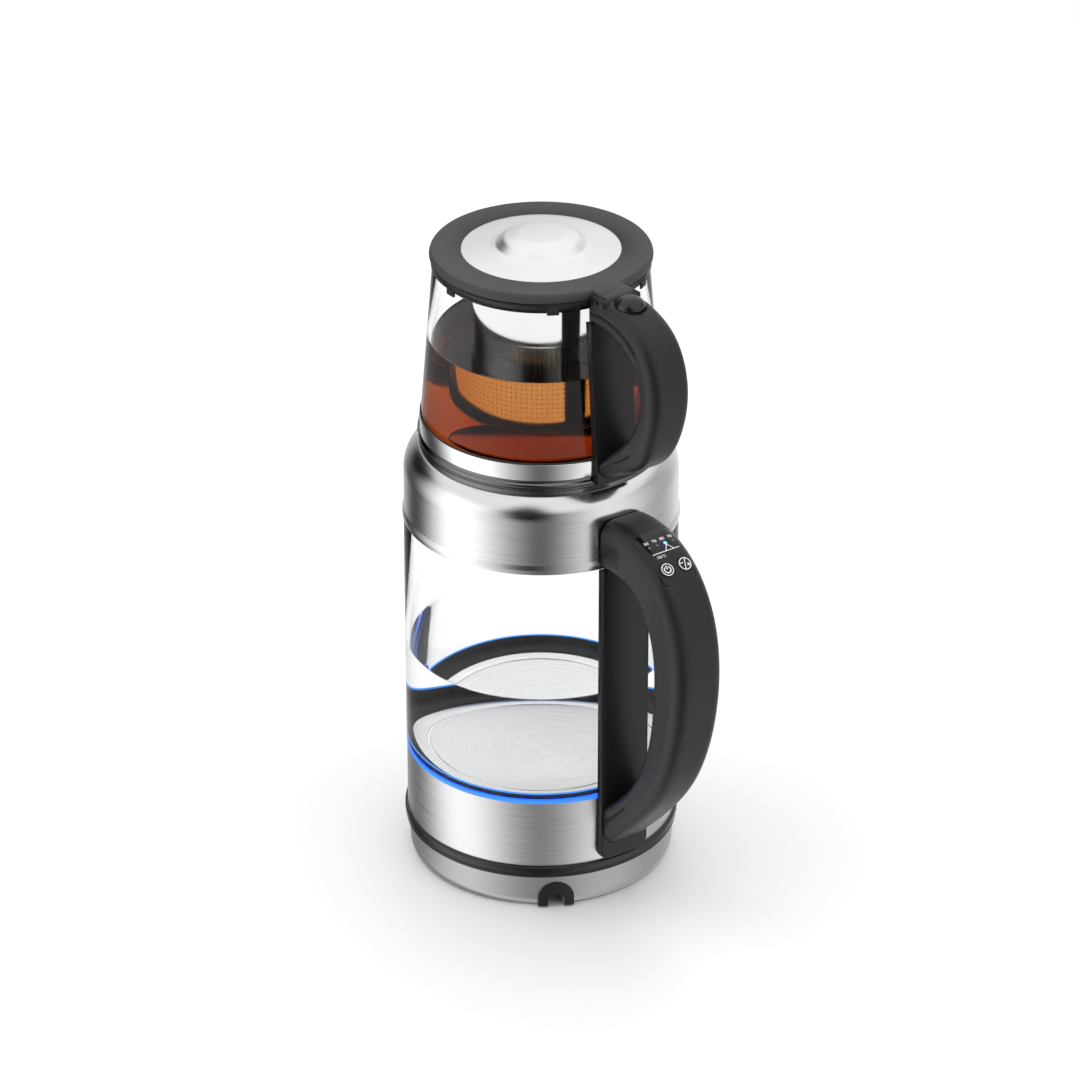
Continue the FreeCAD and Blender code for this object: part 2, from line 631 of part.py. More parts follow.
# Glass, upper band, neck and spout
def make_kettle_high():
    save("kettle_glass", tube(GLASS_IN_R, GLASS_R, Z_GLASS, Z_GLASS_TOP))
    seal_out = UPPER_IN_R - SEAT
    seal_top = Z_GLASS_TOP + UPPER_SEAL_H
    lip_in = GLASS_IN_R - UPPER_SEAL_LIP
    save("glass_seal_upper", lathe(
        (lip_in, Z_GLASS_TOP - 2), (GLASS_IN_R - SEAT, Z_GLASS_TOP - 2), (GLASS_IN_R - SEAT, Z_GLASS_TOP),
        (seal_out, Z_GLASS_TOP), (seal_out, seal_top), (lip_in, seal_top)))

    step_z = Z_LIP + LIP_H
    a_end = math.degrees(math.asin((Z_NECK - SHOULDER_CZ) / SHOULDER_ROUND))
    a_in = a_end + 6
    r_in = SHOULDER_ROUND - BAND_WALL
    neck_in = NECK_R - NECK_WALL
    shoulder = lathe(
        (LIP_IN_R, Z_LIP), (LIP_R, Z_LIP), (LIP_R, step_z), (UPPER_R, step_z + LIP_SLOPE), (UPPER_R,
        SHOULDER_CZ),
        ("arc", arc_point(SHOULDER_C, SHOULDER_CZ, SHOULDER_ROUND, a_end / 2),
         arc_point(SHOULDER_C, SHOULDER_CZ, SHOULDER_ROUND, a_end)),
        (neck_in, Z_NECK), (neck_in, Z_NECK - BAND_WALL),
        arc_point(SHOULDER_C, SHOULDER_CZ, r_in, a_in),
        ("arc", arc_point(SHOULDER_C, SHOULDER_CZ, r_in, a_in / 2), (UPPER_IN_R, SHOULDER_CZ)),
        (UPPER_IN_R, Z_GLASS_TOP + BAND_WALL + SEAT), (LIP_IN_R, Z_GLASS_TOP + SEAT))
    screw_z = Z_ARM_TOP - HANDLE_SCREW_HIGH
    screws = [rod_x(HANDLE_SCREW_R + SEAT, 0, FAR, y, screw_z) for y in (-HANDLE_SCREW_Y, HANDLE_SCREW_Y)]
    save("kettle_shoulder", cut(shoulder, *screws))

    bead = NECK_H / 3
    neck = lathe(
        (MOUTH_R, Z_NECK), (NECK_R - NECK_STEP, Z_NECK), (NECK_R, Z_NECK + NECK_STEP), (NECK_R,
        Z_NECK + bead),
        ("arc", (NECK_R - 1.8 * NECK_STEP, Z_NECK + bead + NECK_STEP),
        (NECK_R - 0.6 * NECK_STEP, Z_NECK + bead + 2.2 * NECK_STEP)),
        ("arc", (NECK_R + 0.5 * NECK_STEP, Z_NECK + 1.9 * bead), (NECK_R - NECK_STEP, Z_NECK + 2.3 * bead)),
        (NECK_R - 2.8 * NECK_STEP, Z_NECK + 2.5 * bead), (NECK_R - 2 * NECK_STEP, Z_SEAT), (MOUTH_R,
        Z_SEAT))
    notch = block(-FAR, -MOUTH_R + 2, NOTCH_W / 2, Z_NECK + NOTCH_UP, Z_NECK + NOTCH_UP + NOTCH_H)
    save("neck_ring", cut(neck, notch))
    make_spout()


def make_spout():
    """A pouring lip round part of the neck, drawn out to a beak, with its wings cut down to the neck in a sweep."""
    def edge(z, wing_r, beak_r):
        turns = [SPOUT_HALF * (2 * i / SPOUT_STATIONS - 1) for i in range(SPOUT_STATIONS + 1)]
        line = []
        for t in turns:
            share = math.cos(min(abs(t) / SPOUT_BEAK_HALF, 1) * math.pi / 2) ** 2
            x, y = arc_point(0, 0, wing_r + (beak_r - wing_r) * share, 180 + t)
            line.append(V(x, y, z))
        spline = Part.BSplineCurve()
        spline.interpolate(line)
        return spline

    def section(z, wing_r, beak_r):
        out = edge(z, wing_r, beak_r)
        ins = edge(z, wing_r - SPOUT_WALL, beak_r - SPOUT_WALL)
        closing = [Part.makeLine(out.StartPoint, ins.StartPoint), Part.makeLine(out.EndPoint, ins.EndPoint)]
        return Part.Wire(Part.__sortEdges__([out.toShape(), ins.toShape()] + closing))

    low = Z_NECK + NOTCH_UP
    top = Z_SEAT + SPOUT_RISE
    root = NECK_R + SEAT + SPOUT_WALL
    wing = NECK_R + SPOUT_FLARE
    levels = [(0.0, root, root + SPOUT_WALL / 4), (0.5, root + 0.3 * (wing - root),
        root + 0.34 * SPOUT_REACH),
              (1.0, wing, NECK_R + SPOUT_REACH)]
    lip = Part.makeLoft([section(low + (top - low) * s, w, b) for s, w, b in levels], True, False)
    tail_x = -root * math.cos(math.radians(SPOUT_HALF))
    sweep = Part.BSplineCurve()
    sweep.interpolate([
        V(-NECK_R - SPOUT_REACH - 1, 0, top + 0.2), V(-NECK_R - 0.4 * SPOUT_REACH, 0,
            top - 1.2), V(-NECK_R + 1, 0, top - 4.2),
        V((tail_x - NECK_R) / 2, 0, low + 0.44 * (top - low)), V(tail_x - 2, 0, low + 1.6), V(tail_x + 4,
            0, low + 0.8)])
    roof = Part.makePolygon([sweep.EndPoint, V(tail_x + 4, 0, HIGH), V(-FAR, 0, HIGH),
        V(-FAR, 0, top + 0.2), sweep.StartPoint])
    face = Part.Face(Part.Wire(Part.__sortEdges__([sweep.toShape()] + roof.Edges)))
    above = face.extrude(V(0, 2 * FAR, 0))
    above.translate(V(0, -FAR, 0))
    save("spout", cut(lip, above))


# Handle outlines, shared by both handles
def curve(points):
    spline = Part.BSplineCurve()
    spline.interpolate([V(x, 0, z) for x, z in points])
    return spline


def shifted(points, amount):
    """The same outline moved along its normals; a positive amount moves it to the left of travel."""
    line = curve(points)
    moved = []
    for x, z in points:
        t = line.tangent(line.parameter(V(x, 0, z)))[0]
        moved.append((x - t.z * amount, z + t.x * amount))
    return moved


def between(outer, inner, share):
    return [(xi + (xo - xi) * share, zi + (zo - zi) * share) for (xo, zo), (xi, zi) in zip(outer, inner)]


def slab(outer, inner, half_w):
    o = curve(outer)
    i = curve(inner)
    edges = [o.toShape(), Part.makeLine(o.EndPoint, i.EndPoint), i.toShape(),
        Part.makeLine(i.StartPoint, o.StartPoint)]
    face = Part.Face(Part.Wire(Part.__sortEdges__(edges)))
    body = face.extrude(V(0, 2 * half_w, 0))
    body.translate(V(0, -half_w, 0))
    return body


def outside_of(outline, parting, reach):
    """Cutting block that holds all of a handle on the outer side of its parting line."""
    o = curve(shifted(outline, reach / 2))
    i = curve(parting)
    corner = V(i.EndPoint.x, 0, o.EndPoint.z)
    closing = [Part.makeLine(o.EndPoint, corner), Part.makeLine(corner, i.EndPoint),
               Part.makeLine(i.StartPoint, o.StartPoint)]
    face = Part.Face(Part.Wire(Part.__sortEdges__([o.toShape(), i.toShape()] + closing)))
    body = face.extrude(V(0, 2 * reach, 0))
    body.translate(V(0, -reach, 0))
    return body


def long_edges(body, outline, half_w):
    line = curve(outline).toShape()
    found = []
    for e in body.Edges:
        m = e.valueAt((e.FirstParameter + e.LastParameter) / 2)
        if abs(abs(m.y) - half_w) < 1e-4 and line.distToShape(Part.Vertex(V(m.x, 0, m.z)))[0] < 1e-3:
            found.append(e)
    return found


def rounded_slab(outer, inner, half_w, round_out, round_in=0.0):
    body = slab(outer, inner, half_w)
    body = body.makeFillet(round_out, long_edges(body, outer, half_w))
    if round_in > 0:
        body = body.makeFillet(round_in, long_edges(body, inner, half_w))
    return body


def placed(shape, spot):
    """A copy of a shape, moved from the origin to a spot of its own: point, tangent and outward normal."""
    origin, x_dir, z_dir = spot
    y_dir = z_dir.cross(x_dir)
    m = FreeCAD.Matrix(x_dir.x, y_dir.x, z_dir.x, origin.x, x_dir.y, y_dir.y, z_dir.y, origin.y,
                       x_dir.z, y_dir.z, z_dir.z, origin.z, 0, 0, 0, 1)
    out = shape.copy()
    out.Placement = FreeCAD.Placement(m)
    return out


def spot_on(outline, place, along=0.0, side=0.0):
    """Spot at a share of an outline's parameter, then a distance further along it and to the side."""
    line = curve(outline)
    u = line.FirstParameter + (line.LastParameter - line.FirstParameter) * place
    step = (line.LastParameter - line.FirstParameter) / 4000.0
    last = line.value(u)
    while along > 0:
        u += step
        here = line.value(u)
        along -= here.distanceToPoint(last)
        last = here
    t = line.tangent(u)[0]
    return V(last.x, side, last.z), t, V(-t.z, 0, t.x)


# Kettle handle; the points follow its side view, as reach from the body and height
GRIP_OUTER = [(BODY_R + x, z) for x, z in (
    (GRIP_ROOT, Z_ARM_TOP), (17.0, Z_ARM_TOP + 0.9), (34.0, Z_ARM_TOP - 3.4), (53.0, Z_ARM_TOP - 17.0),
    (GRIP_OUT - 5.8, Z_ARM_TOP - 37.5), (GRIP_OUT, Z_GRIP + 5.0), (GRIP_OUT - 2.7, Z_GRIP - 23.0),
    (GRIP_OUT - 18.7, Z_GRIP - 68.0), (29.0, Z_ARM_LOW_OUT + 24.5), (STRIP_OUT + STRIP_T + SEAT,
    Z_ARM_LOW_OUT))]
GRIP_INNER = [(BODY_R + x, z) for x, z in (
    (GRIP_ROOT, Z_ARM_UNDER), (15.0, Z_ARM_UNDER + 0.9), (29.0, Z_ARM_UNDER - 3.5), (38.6,
    Z_ARM_UNDER - 15.0),
    (GRIP_IN - 2.0, Z_ARM_UNDER - 29.0), (GRIP_IN, Z_GRIP - 6.0), (GRIP_IN - 2.2, Z_GRIP - 31.0),
    (GRIP_IN - 11.8, Z_GRIP - 62.0), (20.0, Z_ARM_LOW_IN + 15.0), (STRIP_OUT + STRIP_T + SEAT,
    Z_ARM_LOW_IN))]


def make_handle_strip(screw_z):
    half = STRIP_W / 2
    strip = tube(STRIP_IN_R, STRIP_OUT_R, Z_STRIP, Z_ARM_UNDER).common(block(0, FAR, half, Z_STRIP,
        Z_ARM_UNDER))
    corners = [e for e in strip.Edges if abs(e.BoundBox.ZMax - Z_STRIP) < 1e-3 and e.BoundBox.YLength < 1e-3]
    strip = strip.makeFillet(STRIP_CORNER, corners)
    front = chord(STRIP_OUT_R, half) - 0.1
    ridges = [e for e in strip.Edges if e.BoundBox.ZLength > GLASS_H / 2 and e.BoundBox.XMin > front]
    strip = strip.makeFillet(STRIP_ROUND, ridges)
    channel = block(0, STRIP_IN_R + LOOM_T + LOOM_ROOM, LOOM_W / 2 + LOOM_ROOM,
        Z_STRIP + LOOM_LOW - LOOM_ROOM, HIGH)
    bores = [rod_x(HANDLE_SCREW_R, 0, BAND_IN_R + HANDLE_SCREW_BITE, y,
        screw_z) for y in (-HANDLE_SCREW_Y, HANDLE_SCREW_Y)]
    save("handle_strip", cut(strip, channel, *bores))


def make_kettle_handle():
    low_screw_z = Z_STRIP + HANDLE_SCREW_LOW
    high_screw_z = Z_ARM_TOP - HANDLE_SCREW_HIGH
    make_handle_strip(low_screw_z)

    whole = rounded_slab(GRIP_OUTER, GRIP_INNER, GRIP_W / 2, GRIP_ROUND, GRIP_INNER_ROUND)
    whole = cut(whole, post(UPPER_R + RUN, 0, HIGH), post(STRIP_OUT_R + SEAT, 0, Z_ARM_UNDER))
    hollow = rounded_slab(shifted(GRIP_OUTER, -GRIP_WALL)[1:-1], shifted(GRIP_INNER, GRIP_WALL)[1:-1],
                          GRIP_W / 2 - GRIP_WALL, GRIP_ROUND - GRIP_WALL)
    parting = between(GRIP_OUTER, GRIP_INNER, PARTING)
    outside = outside_of(GRIP_OUTER, parting, GRIP_W)

    centre = spot_on(GRIP_OUTER, PANEL_AT)
    key_at = [spot_on(GRIP_OUTER, PANEL_AT, KEY_FORWARD, side) for side in (-KEY_SPREAD, KEY_SPREAD)]
    tool = Part.makeBox(PANEL_L, PANEL_W, GRIP_W, V(-PANEL_L / 2, -PANEL_W / 2, -GRIP_W / 2))
    tool = placed(tool.makeFillet(PANEL_ROUND,
        [e for e in tool.Edges if e.BoundBox.ZLength > GRIP_W - 1]), centre)
    core = slab(shifted(GRIP_OUTER, -PANEL_T), parting, GRIP_W)
    panel = whole.common(tool).cut(core)
    key_hole = Part.makeCylinder(KEY_R + KEY_RUN, GRIP_W, V(0, 0, -GRIP_W / 2))
    save("control_panel", cut(panel, *[placed(key_hole, spot) for spot in key_at]))
    key = Part.makeCylinder(KEY_R, KEY_T, V(0, 0, KEY_PROUD - KEY_T))
    key = key.makeFillet(KEY_SOFT, [e for e in key.Edges if abs(e.BoundBox.ZMin - KEY_PROUD) < 0.01])
    save("power_key", placed(key, key_at[0]))
    save("temperature_key", placed(key, key_at[1]))
    print("key axis", [round(-c, 5) for c in key_at[0][2]])

    loom_z = Z_ARM_UNDER + LOOM_UP
    room = LOOM_W / 2 + LOOM_ROOM
    loom_in = BODY_R + LOOM_IN
    loom_up = block(0, STRIP_OUT_R, room, Z_ARM_UNDER - 1, loom_z + LOOM_T + LOOM_ROOM)
    loom_slot = loom_up.fuse(block(0, loom_in + 1, room, loom_z - LOOM_ROOM, loom_z + LOOM_T + LOOM_ROOM))
    sides = (-HANDLE_SCREW_Y, HANDLE_SCREW_Y)
    bores = [rod_x(HANDLE_SCREW_R, 0, UPPER_R + HANDLE_SCREW_BITE + 1, y, high_screw_z) for y in sides]
    shell = whole.cut(hollow)
    window = Part.makeBox(PANEL_L - PANEL_LEDGE, PANEL_W - 2 * PANEL_LEDGE, GRIP_W / 2,
                          V((PANEL_LEDGE - PANEL_L) / 2, PANEL_LEDGE - PANEL_W / 2, -GRIP_W / 2))
    save("handle_outer_shell", cut(shell.common(outside), panel, placed(window, centre), *bores))
    save("handle_inner_shell", cut(shell.cut(outside), loom_slot, *bores))

    switch_z = KEY_PROUD - KEY_T - KEY_TRAVEL - SWITCH_GAP - SWITCH_H
    board = Part.makeBox(BOARD_L, BOARD_W, BOARD_T, V(-BOARD_BACK, -BOARD_W / 2, switch_z - BOARD_T))
    save("control_board", placed(board, spot_on(GRIP_OUTER, PANEL_AT, KEY_FORWARD)))
    switch = Part.makeBox(SWITCH_W, SWITCH_W, SWITCH_H, V(-SWITCH_W / 2, -SWITCH_W / 2, switch_z))
    save("key_switches", *[placed(switch, spot) for spot in key_at])

    loom_x = STRIP_IN_R + LOOM_ROOM / 2
    low_z = Z_STRIP + LOOM_LOW
    up = block(loom_x, loom_x + LOOM_T, LOOM_W / 2, low_z, loom_z + LOOM_T)
    foot = block(BODY_R - LOOM_LOW, loom_x + LOOM_T, LOOM_W / 2, low_z, low_z + LOOM_T)
    arm = block(loom_x, loom_in, LOOM_W / 2, loom_z, loom_z + LOOM_T)
    save("wiring_loom", fuse(up, foot, arm))

    def screw(wall_r, y, z, x_end):
        seat_x = chord(wall_r, HANDLE_SCREW_Y + HANDLE_SCREW_HEAD_R)
        head = rod_x(HANDLE_SCREW_HEAD_R, seat_x - HANDLE_SCREW_HEAD_T, seat_x, y, z)
        return fuse(head, rod_x(HANDLE_SCREW_R, seat_x, x_end, y, z))

    low_screws = [screw(BAND_IN_R, y, low_screw_z, BAND_IN_R + HANDLE_SCREW_BITE - SEAT) for y in sides]
    high_screws = [screw(UPPER_IN_R, y, high_screw_z, UPPER_R + HANDLE_SCREW_BITE) for y in sides]
    save("handle_screws", *(low_screws + high_screws))


# Teapot
def pot_r(z):
    return POT_LOW_R + (POT_TOP_R - POT_LOW_R) * (z - Z_POT_LOW) / (Z_POT_TOP - Z_POT_LOW)


def make_teapot():
    soft = POT_BAND_SOFT
    band_in = POT_R - POT_BAND_WALL
    band_top = Z_SEAT + POT_BAND_H
    spigot_in = SPIGOT_R - SPIGOT_WALL
    spigot_low = Z_SEAT - SPIGOT_DEEP
    save("teapot_base_cup", lathe(
        (0, Z_SEAT), (spigot_in, Z_SEAT), (spigot_in, spigot_low), (SPIGOT_R, spigot_low), (SPIGOT_R,
        Z_SEAT),
        (POT_R - soft, Z_SEAT), ("arc", quarter(POT_R, Z_SEAT, soft, -1, 1),
        (POT_R, Z_SEAT + soft)), (POT_R, band_top),
        (band_in, band_top), (band_in, Z_SEAT + POT_BAND_FLOOR), (0, Z_SEAT + POT_BAND_FLOOR)))
    save("teapot_seal", tube(band_in, POT_R - SEAT, band_top, Z_POT_LOW))
    foot_r = band_in - SEAT
    soft = 4.0
    z0 = Z_POT_GLASS
    floor = z0 + POT_FLOOR
    turn_r = pot_r(floor) - POT_WALL
    save("teapot_glass", lathe(
        (0, z0), (foot_r - soft, z0), ("arc", quarter(foot_r, z0, soft, -1, 1),
        (foot_r, z0 + soft)), (foot_r, Z_POT_LOW),
        (POT_LOW_R, Z_POT_LOW), (POT_TOP_R, Z_POT_TOP), (POT_TOP_R - POT_WALL, Z_POT_TOP),
        (pot_r(floor + 2 * soft) - POT_WALL, floor + 2 * soft),
        ("arc", quarter(turn_r, floor, 2 * soft, -1, 1), (turn_r - 2 * soft, floor)), (0, floor)))

    glass_in = POT_TOP_R - POT_WALL
    ledge_low = Z_LEDGE - LEDGE_T
    collar = lathe(
        (LEDGE_R, ledge_low), (glass_in - 9 * SEAT, ledge_low), (glass_in - SEAT, Z_POT_TOP), (COLLAR_R,
        Z_POT_TOP),
        (COLLAR_R, Z_COLLAR_TOP - COLLAR_SOFT), (COLLAR_R - COLLAR_SOFT, Z_COLLAR_TOP), (BORE_R,
        Z_COLLAR_TOP),
        (BORE_R, Z_LEDGE), (LEDGE_R, Z_LEDGE))
    nub_in = POT_TOP_R + NUB_GAP
    half = NUB_W / 2
    nub = tube(nub_in, nub_in + NUB_T, Z_POT_TOP - NUB_H,
        Z_POT_TOP + 1).common(block(0, FAR, half, 0, HIGH))
    link = tube(COLLAR_R - 1, nub_in + NUB_T, Z_POT_TOP, Z_POT_TOP + 1).common(block(0, FAR, half, 0, HIGH))
    nubs = around(nub, NUB_COUNT, NUB_TURN) + around(link, NUB_COUNT, NUB_TURN)
    save("teapot_collar", fuse(collar, *nubs))

    sleeve_in = BASKET_R - BASKET_WALL
    flange_top = Z_LEDGE + BASKET_FLANGE_T
    save("infuser_sleeve", lathe(
        (sleeve_in, Z_SLEEVE), (BASKET_R, Z_SLEEVE), (BASKET_R, Z_LEDGE), (BORE_R - RUN, Z_LEDGE),
        (BORE_R - RUN, flange_top), (sleeve_in, flange_top)))
    mesh_r = sleeve_in - SEAT / 2
    mesh_in = mesh_r - BASKET_WALL
    soft = BASKET_SOFT
    lap_z = Z_SLEEVE + BASKET_LAP
    mesh = lathe(
        (0, Z_BASKET), (mesh_r - soft, Z_BASKET), ("arc", quarter(mesh_r, Z_BASKET, soft, -1, 1),
        (mesh_r, Z_BASKET + soft)),
        (mesh_r, lap_z), (mesh_in, lap_z), (mesh_in, Z_BASKET + soft), (mesh_r - soft,
        Z_BASKET + BASKET_WALL),
        (0, Z_BASKET + BASKET_WALL))
    windows = []
    for row in range(WINDOW_ROWS):
        z = Z_BASKET + WINDOW_UP + row * (WINDOW_H + WINDOW_GAP)
        windows += around(block(mesh_in - 1, BASKET_R, WINDOW_W / 2, z, z + WINDOW_H), WINDOW_COUNT)
    save("infuser_basket", cut(mesh, *windows))


# Teapot handle, in the same way
POT_OUTER = [(POT_R + x, z) for x, z in (
    (-POT_ROOT, Z_POT_ARM_TOP), (10.0, Z_POT_ARM_TOP + 0.4), (25.0, Z_POT_ARM_TOP - 2.6), (38.5,
    Z_POT_ARM_TOP - 10.0),
    (POT_GRIP_OUT - 4.0, Z_POT_GRIP + 21.5), (POT_GRIP_OUT, Z_POT_GRIP), (POT_GRIP_OUT - 4.0,
    Z_POT_GRIP - 20.0),
    (35.0, Z_POT_GRIP - 41.5), (19.0, Z_POT_ARM_LOW_OUT + 8.0), (4.2, Z_POT_ARM_LOW_OUT))]
POT_INNER = [(POT_R + x, z) for x, z in (
    (-POT_ROOT, Z_POT_ARM_UNDER), (11.0, Z_POT_ARM_UNDER - 0.6), (22.0, Z_POT_ARM_UNDER - 4.4), (31.0,
    Z_POT_ARM_UNDER - 11.4),
    (POT_GRIP_IN - 1.8, Z_POT_GRIP + 9.0), (POT_GRIP_IN, Z_POT_GRIP - 2.0), (POT_GRIP_IN - 2.6,
    Z_POT_GRIP - 13.0),
    (27.0, Z_POT_GRIP - 27.0), (16.0, Z_POT_ARM_LOW_IN + 11.0), (4.2, Z_POT_ARM_LOW_IN))]


def make_teapot_handle():
    gap = POT_HANDLE_GAP
    top_z = Z_POT_ARM_UNDER
    strip_r = POT_R + gap + POT_STRIP_T
    clear = POT_R + gap + 2 * RUN
    body = lathe(
        (clear, Z_POT_STRIP), (strip_r, Z_POT_STRIP), (pot_r(top_z) + gap + POT_STRIP_T, top_z),
        (pot_r(top_z) + gap, top_z), (pot_r(Z_POT_LOW + 1) + gap, Z_POT_LOW + 1), (POT_R + gap, Z_POT_LOW),
        (POT_R + gap, Z_SEAT), (clear, Z_SEAT))
    save("teapot_handle_strip", body.common(block(0, FAR, POT_STRIP_W / 2, 0, HIGH)))

    whole = rounded_slab(POT_OUTER, POT_INNER, POT_GRIP_W / 2, POT_GRIP_ROUND, POT_GRIP_INNER_ROUND)
    lid_clear = LID_R + 2 * RUN
    keep_out = lathe(
        (0, 0), (strip_r + SEAT, 0), (strip_r + SEAT,
        Z_POT_STRIP), (pot_r(top_z) + gap + POT_STRIP_T + SEAT, top_z),
        (pot_r(top_z) + gap, top_z), (COLLAR_R + gap, Z_POT_TOP - NUB_H), (COLLAR_R + gap, Z_COLLAR_TOP),
        (lid_clear, Z_COLLAR_TOP), (lid_clear, HIGH), (0, HIGH))
    whole = whole.cut(keep_out)

    ear_top = Z_LID_TOP - EAR_DOWN
    ear = block(POT_R - POT_ROOT, HINGE_X + EAR_OUT, POT_GRIP_W / 2 - EAR_IN, Z_POT_TOP,
        ear_top).cut(keep_out)
    tops = [e for e in ear.Edges if abs(e.BoundBox.ZMin - ear_top) < 1e-3 and e.BoundBox.YLength < 1e-3]
    whole = fuse(whole, ear.makeFillet(EAR_ROUND, tops))
    swing_r = HINGE_R + RUN + SEAT
    swing_half = TONGUE_HALF + RUN
    swing = rod_y(swing_r, swing_half, HINGE_X, Z_HINGE)
    room = block(0, HINGE_X, swing_half, Z_LID - RUN - SEAT, HIGH)
    over = block(HINGE_X, HINGE_X + swing_r, swing_half, Z_HINGE, HIGH)
    pin_bore = rod_y(HINGE_PIN_R + PIN_TIGHT, POT_GRIP_W, HINGE_X, Z_HINGE)
    dome_low = Z_POT_ARM_TOP - LATCH_SUNK - LATCH_RIM
    stem_low = dome_low - LATCH_STEM_L
    well_z = dome_low - LATCH_TRAVEL - RUN
    stem_z = stem_low - LATCH_TRAVEL - RUN
    well = post(LATCH_R + LATCH_WELL, well_z, HIGH, LATCH_X)
    stem_bore = post(LATCH_STEM_R + LATCH_STEM_RUN, stem_z, HIGH, LATCH_X)
    whole = cut(whole, swing, room, over, pin_bore, well, stem_bore)

    outside = outside_of(POT_OUTER, between(POT_OUTER, POT_INNER, POT_PARTING), POT_GRIP_W)
    hollow = rounded_slab(shifted(POT_OUTER, -POT_GRIP_WALL)[3:-2], shifted(POT_INNER, POT_GRIP_WALL)[3:-2],
                          POT_GRIP_W / 2 - POT_GRIP_WALL, POT_GRIP_ROUND - POT_GRIP_WALL)
    save("teapot_handle_outer", whole.common(outside).cut(hollow))
    save("teapot_handle_inner", whole.cut(outside).cut(hollow))
    save("lid_hinge_pin", rod_y(HINGE_PIN_R, POT_GRIP_W / 2 - PIN_SHORT, HINGE_X, Z_HINGE))

    edge_z = dome_low + LATCH_RIM
    top = edge_z + LATCH_H
    r = LATCH_R
    dome = lathe((0, dome_low), (r, dome_low), (r, edge_z),
        ("arc", (0.74 * r, edge_z + 0.68 * LATCH_H), (0.1 * r, top)), (0, top))
    button = fuse(dome, post(LATCH_STEM_R, stem_low, dome_low + SEAT))
    button.translate(V(LATCH_X, 0, 0))
    save("lid_button", button)


def make_lid():
    skin_z = Z_LID_TOP - LID_SKIN
    lap_r = LID_DISC_R - LID_LAP
    ring = lathe(
        (lap_r, Z_LID), (LID_R - 0.8, Z_LID), ("arc", (LID_R, Z_LID + 0.45 * LID_T),
        (LID_TOP_R, Z_LID_TOP)),
        (LID_DISC_R + SEAT, Z_LID_TOP), (LID_DISC_R + SEAT, skin_z), (lap_r, skin_z))
    stem_r = LID_SEAL_R - LID_SEAL_T
    stem = tube(LID_R - LID_STEM_IN, stem_r, Z_LID - LID_STEM_H, Z_LID + LID_GAP)
    tongue = block(LID_R - 2 * LID_LAP, HINGE_X, TONGUE_HALF, Z_LID, Z_LID_TOP)
    tongue = tongue.cut(post(LID_R - 1.5 * LID_LAP, 0, HIGH))
    knuckle = rod_y(HINGE_R, TONGUE_HALF, HINGE_X, Z_HINGE)
    bore = rod_y(HINGE_PIN_R + PIN_RUN, POT_GRIP_W, HINGE_X, Z_HINGE)
    save("lid_ring", cut(fuse(ring, stem, tongue, knuckle), bore))

    w = DISC_WALL
    k = KNOB_R
    rim = Z_LID_TOP - 2 * SEAT
    foot_z = Z_LID_TOP + DISC_RISE
    top = foot_z + KNOB_H
    disc = lathe(
        (LID_DISC_R, rim), (k, foot_z), ("arc", (0.76 * k, foot_z + 0.75 * KNOB_H), (0.45 * k, top)), (0,
        top + 2 * SEAT),
        (0, top + 2 * SEAT - w), (0.45 * k - w / 2, top - w),
        ("arc", (0.76 * k - w, foot_z + 0.75 * KNOB_H - w), (k - w, foot_z - w)), (LID_DISC_R - 2 * w,
        rim - w),
        (LID_DISC_R - 2 * w, skin_z), (LID_DISC_R, skin_z))
    save("lid_disc", disc)
    seal_in = stem_r + SEAT
    soft = LID_SEAL_T / 3
    save("lid_seal", lathe(
        (seal_in, Z_LID - LID_SEAL_H), (LID_SEAL_R - soft, Z_LID - LID_SEAL_H), (LID_SEAL_R,
        Z_LID - LID_SEAL_H / 2),
        (LID_SEAL_R - soft, Z_LID), (seal_in, Z_LID)))
    print("height", round(top + 2 * SEAT, 2), "seat", round(Z_SEAT, 2), "hinge", round(HINGE_X, 2),
        round(Z_HINGE, 2))


make_base()
make_kettle_low()
make_kettle_high()
make_kettle_handle()
make_teapot()
make_teapot_handle()
make_lid()
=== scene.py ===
# %% [markdown]
# This lesson dresses a two-tier tea maker: a glass kettle on a power base, with a glass teapot on its
# mouth. The construction is already there as a fixed frame of solids. Everything made here sits in that
# frame, in metres, so a piece goes where the solid it stands for is, and rides on the body that carries it.
# Half sections and prints are written in millimetres.

# %% Load the fixed frame
import json
import math

import bpy
import bmesh
import numpy as np
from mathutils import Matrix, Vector
from mathutils.bvhtree import BVHTree


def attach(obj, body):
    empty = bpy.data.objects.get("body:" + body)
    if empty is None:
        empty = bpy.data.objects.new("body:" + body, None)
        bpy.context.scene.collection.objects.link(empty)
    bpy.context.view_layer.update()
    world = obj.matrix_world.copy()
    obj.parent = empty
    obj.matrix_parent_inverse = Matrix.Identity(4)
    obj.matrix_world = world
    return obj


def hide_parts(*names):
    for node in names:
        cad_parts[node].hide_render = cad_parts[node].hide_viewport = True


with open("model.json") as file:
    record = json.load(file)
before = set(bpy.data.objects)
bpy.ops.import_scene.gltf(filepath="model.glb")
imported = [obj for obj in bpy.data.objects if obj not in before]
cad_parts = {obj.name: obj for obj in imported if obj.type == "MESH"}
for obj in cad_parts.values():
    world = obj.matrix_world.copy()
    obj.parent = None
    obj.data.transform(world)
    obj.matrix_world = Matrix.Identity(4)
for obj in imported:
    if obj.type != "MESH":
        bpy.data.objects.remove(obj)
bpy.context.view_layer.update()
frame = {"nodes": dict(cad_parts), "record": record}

mm = 0.001

# %% [markdown]
# Most of this object was turned or spun: steel bands, glass walls, seals and the lid. A maker would give
# each one a half section and spin it. A Geometry Nodes tree can do the same for all of them: it lays a grid
# out as a ring of copies of the section. The tree is built once, with the number of steps round the axis as
# a named input.

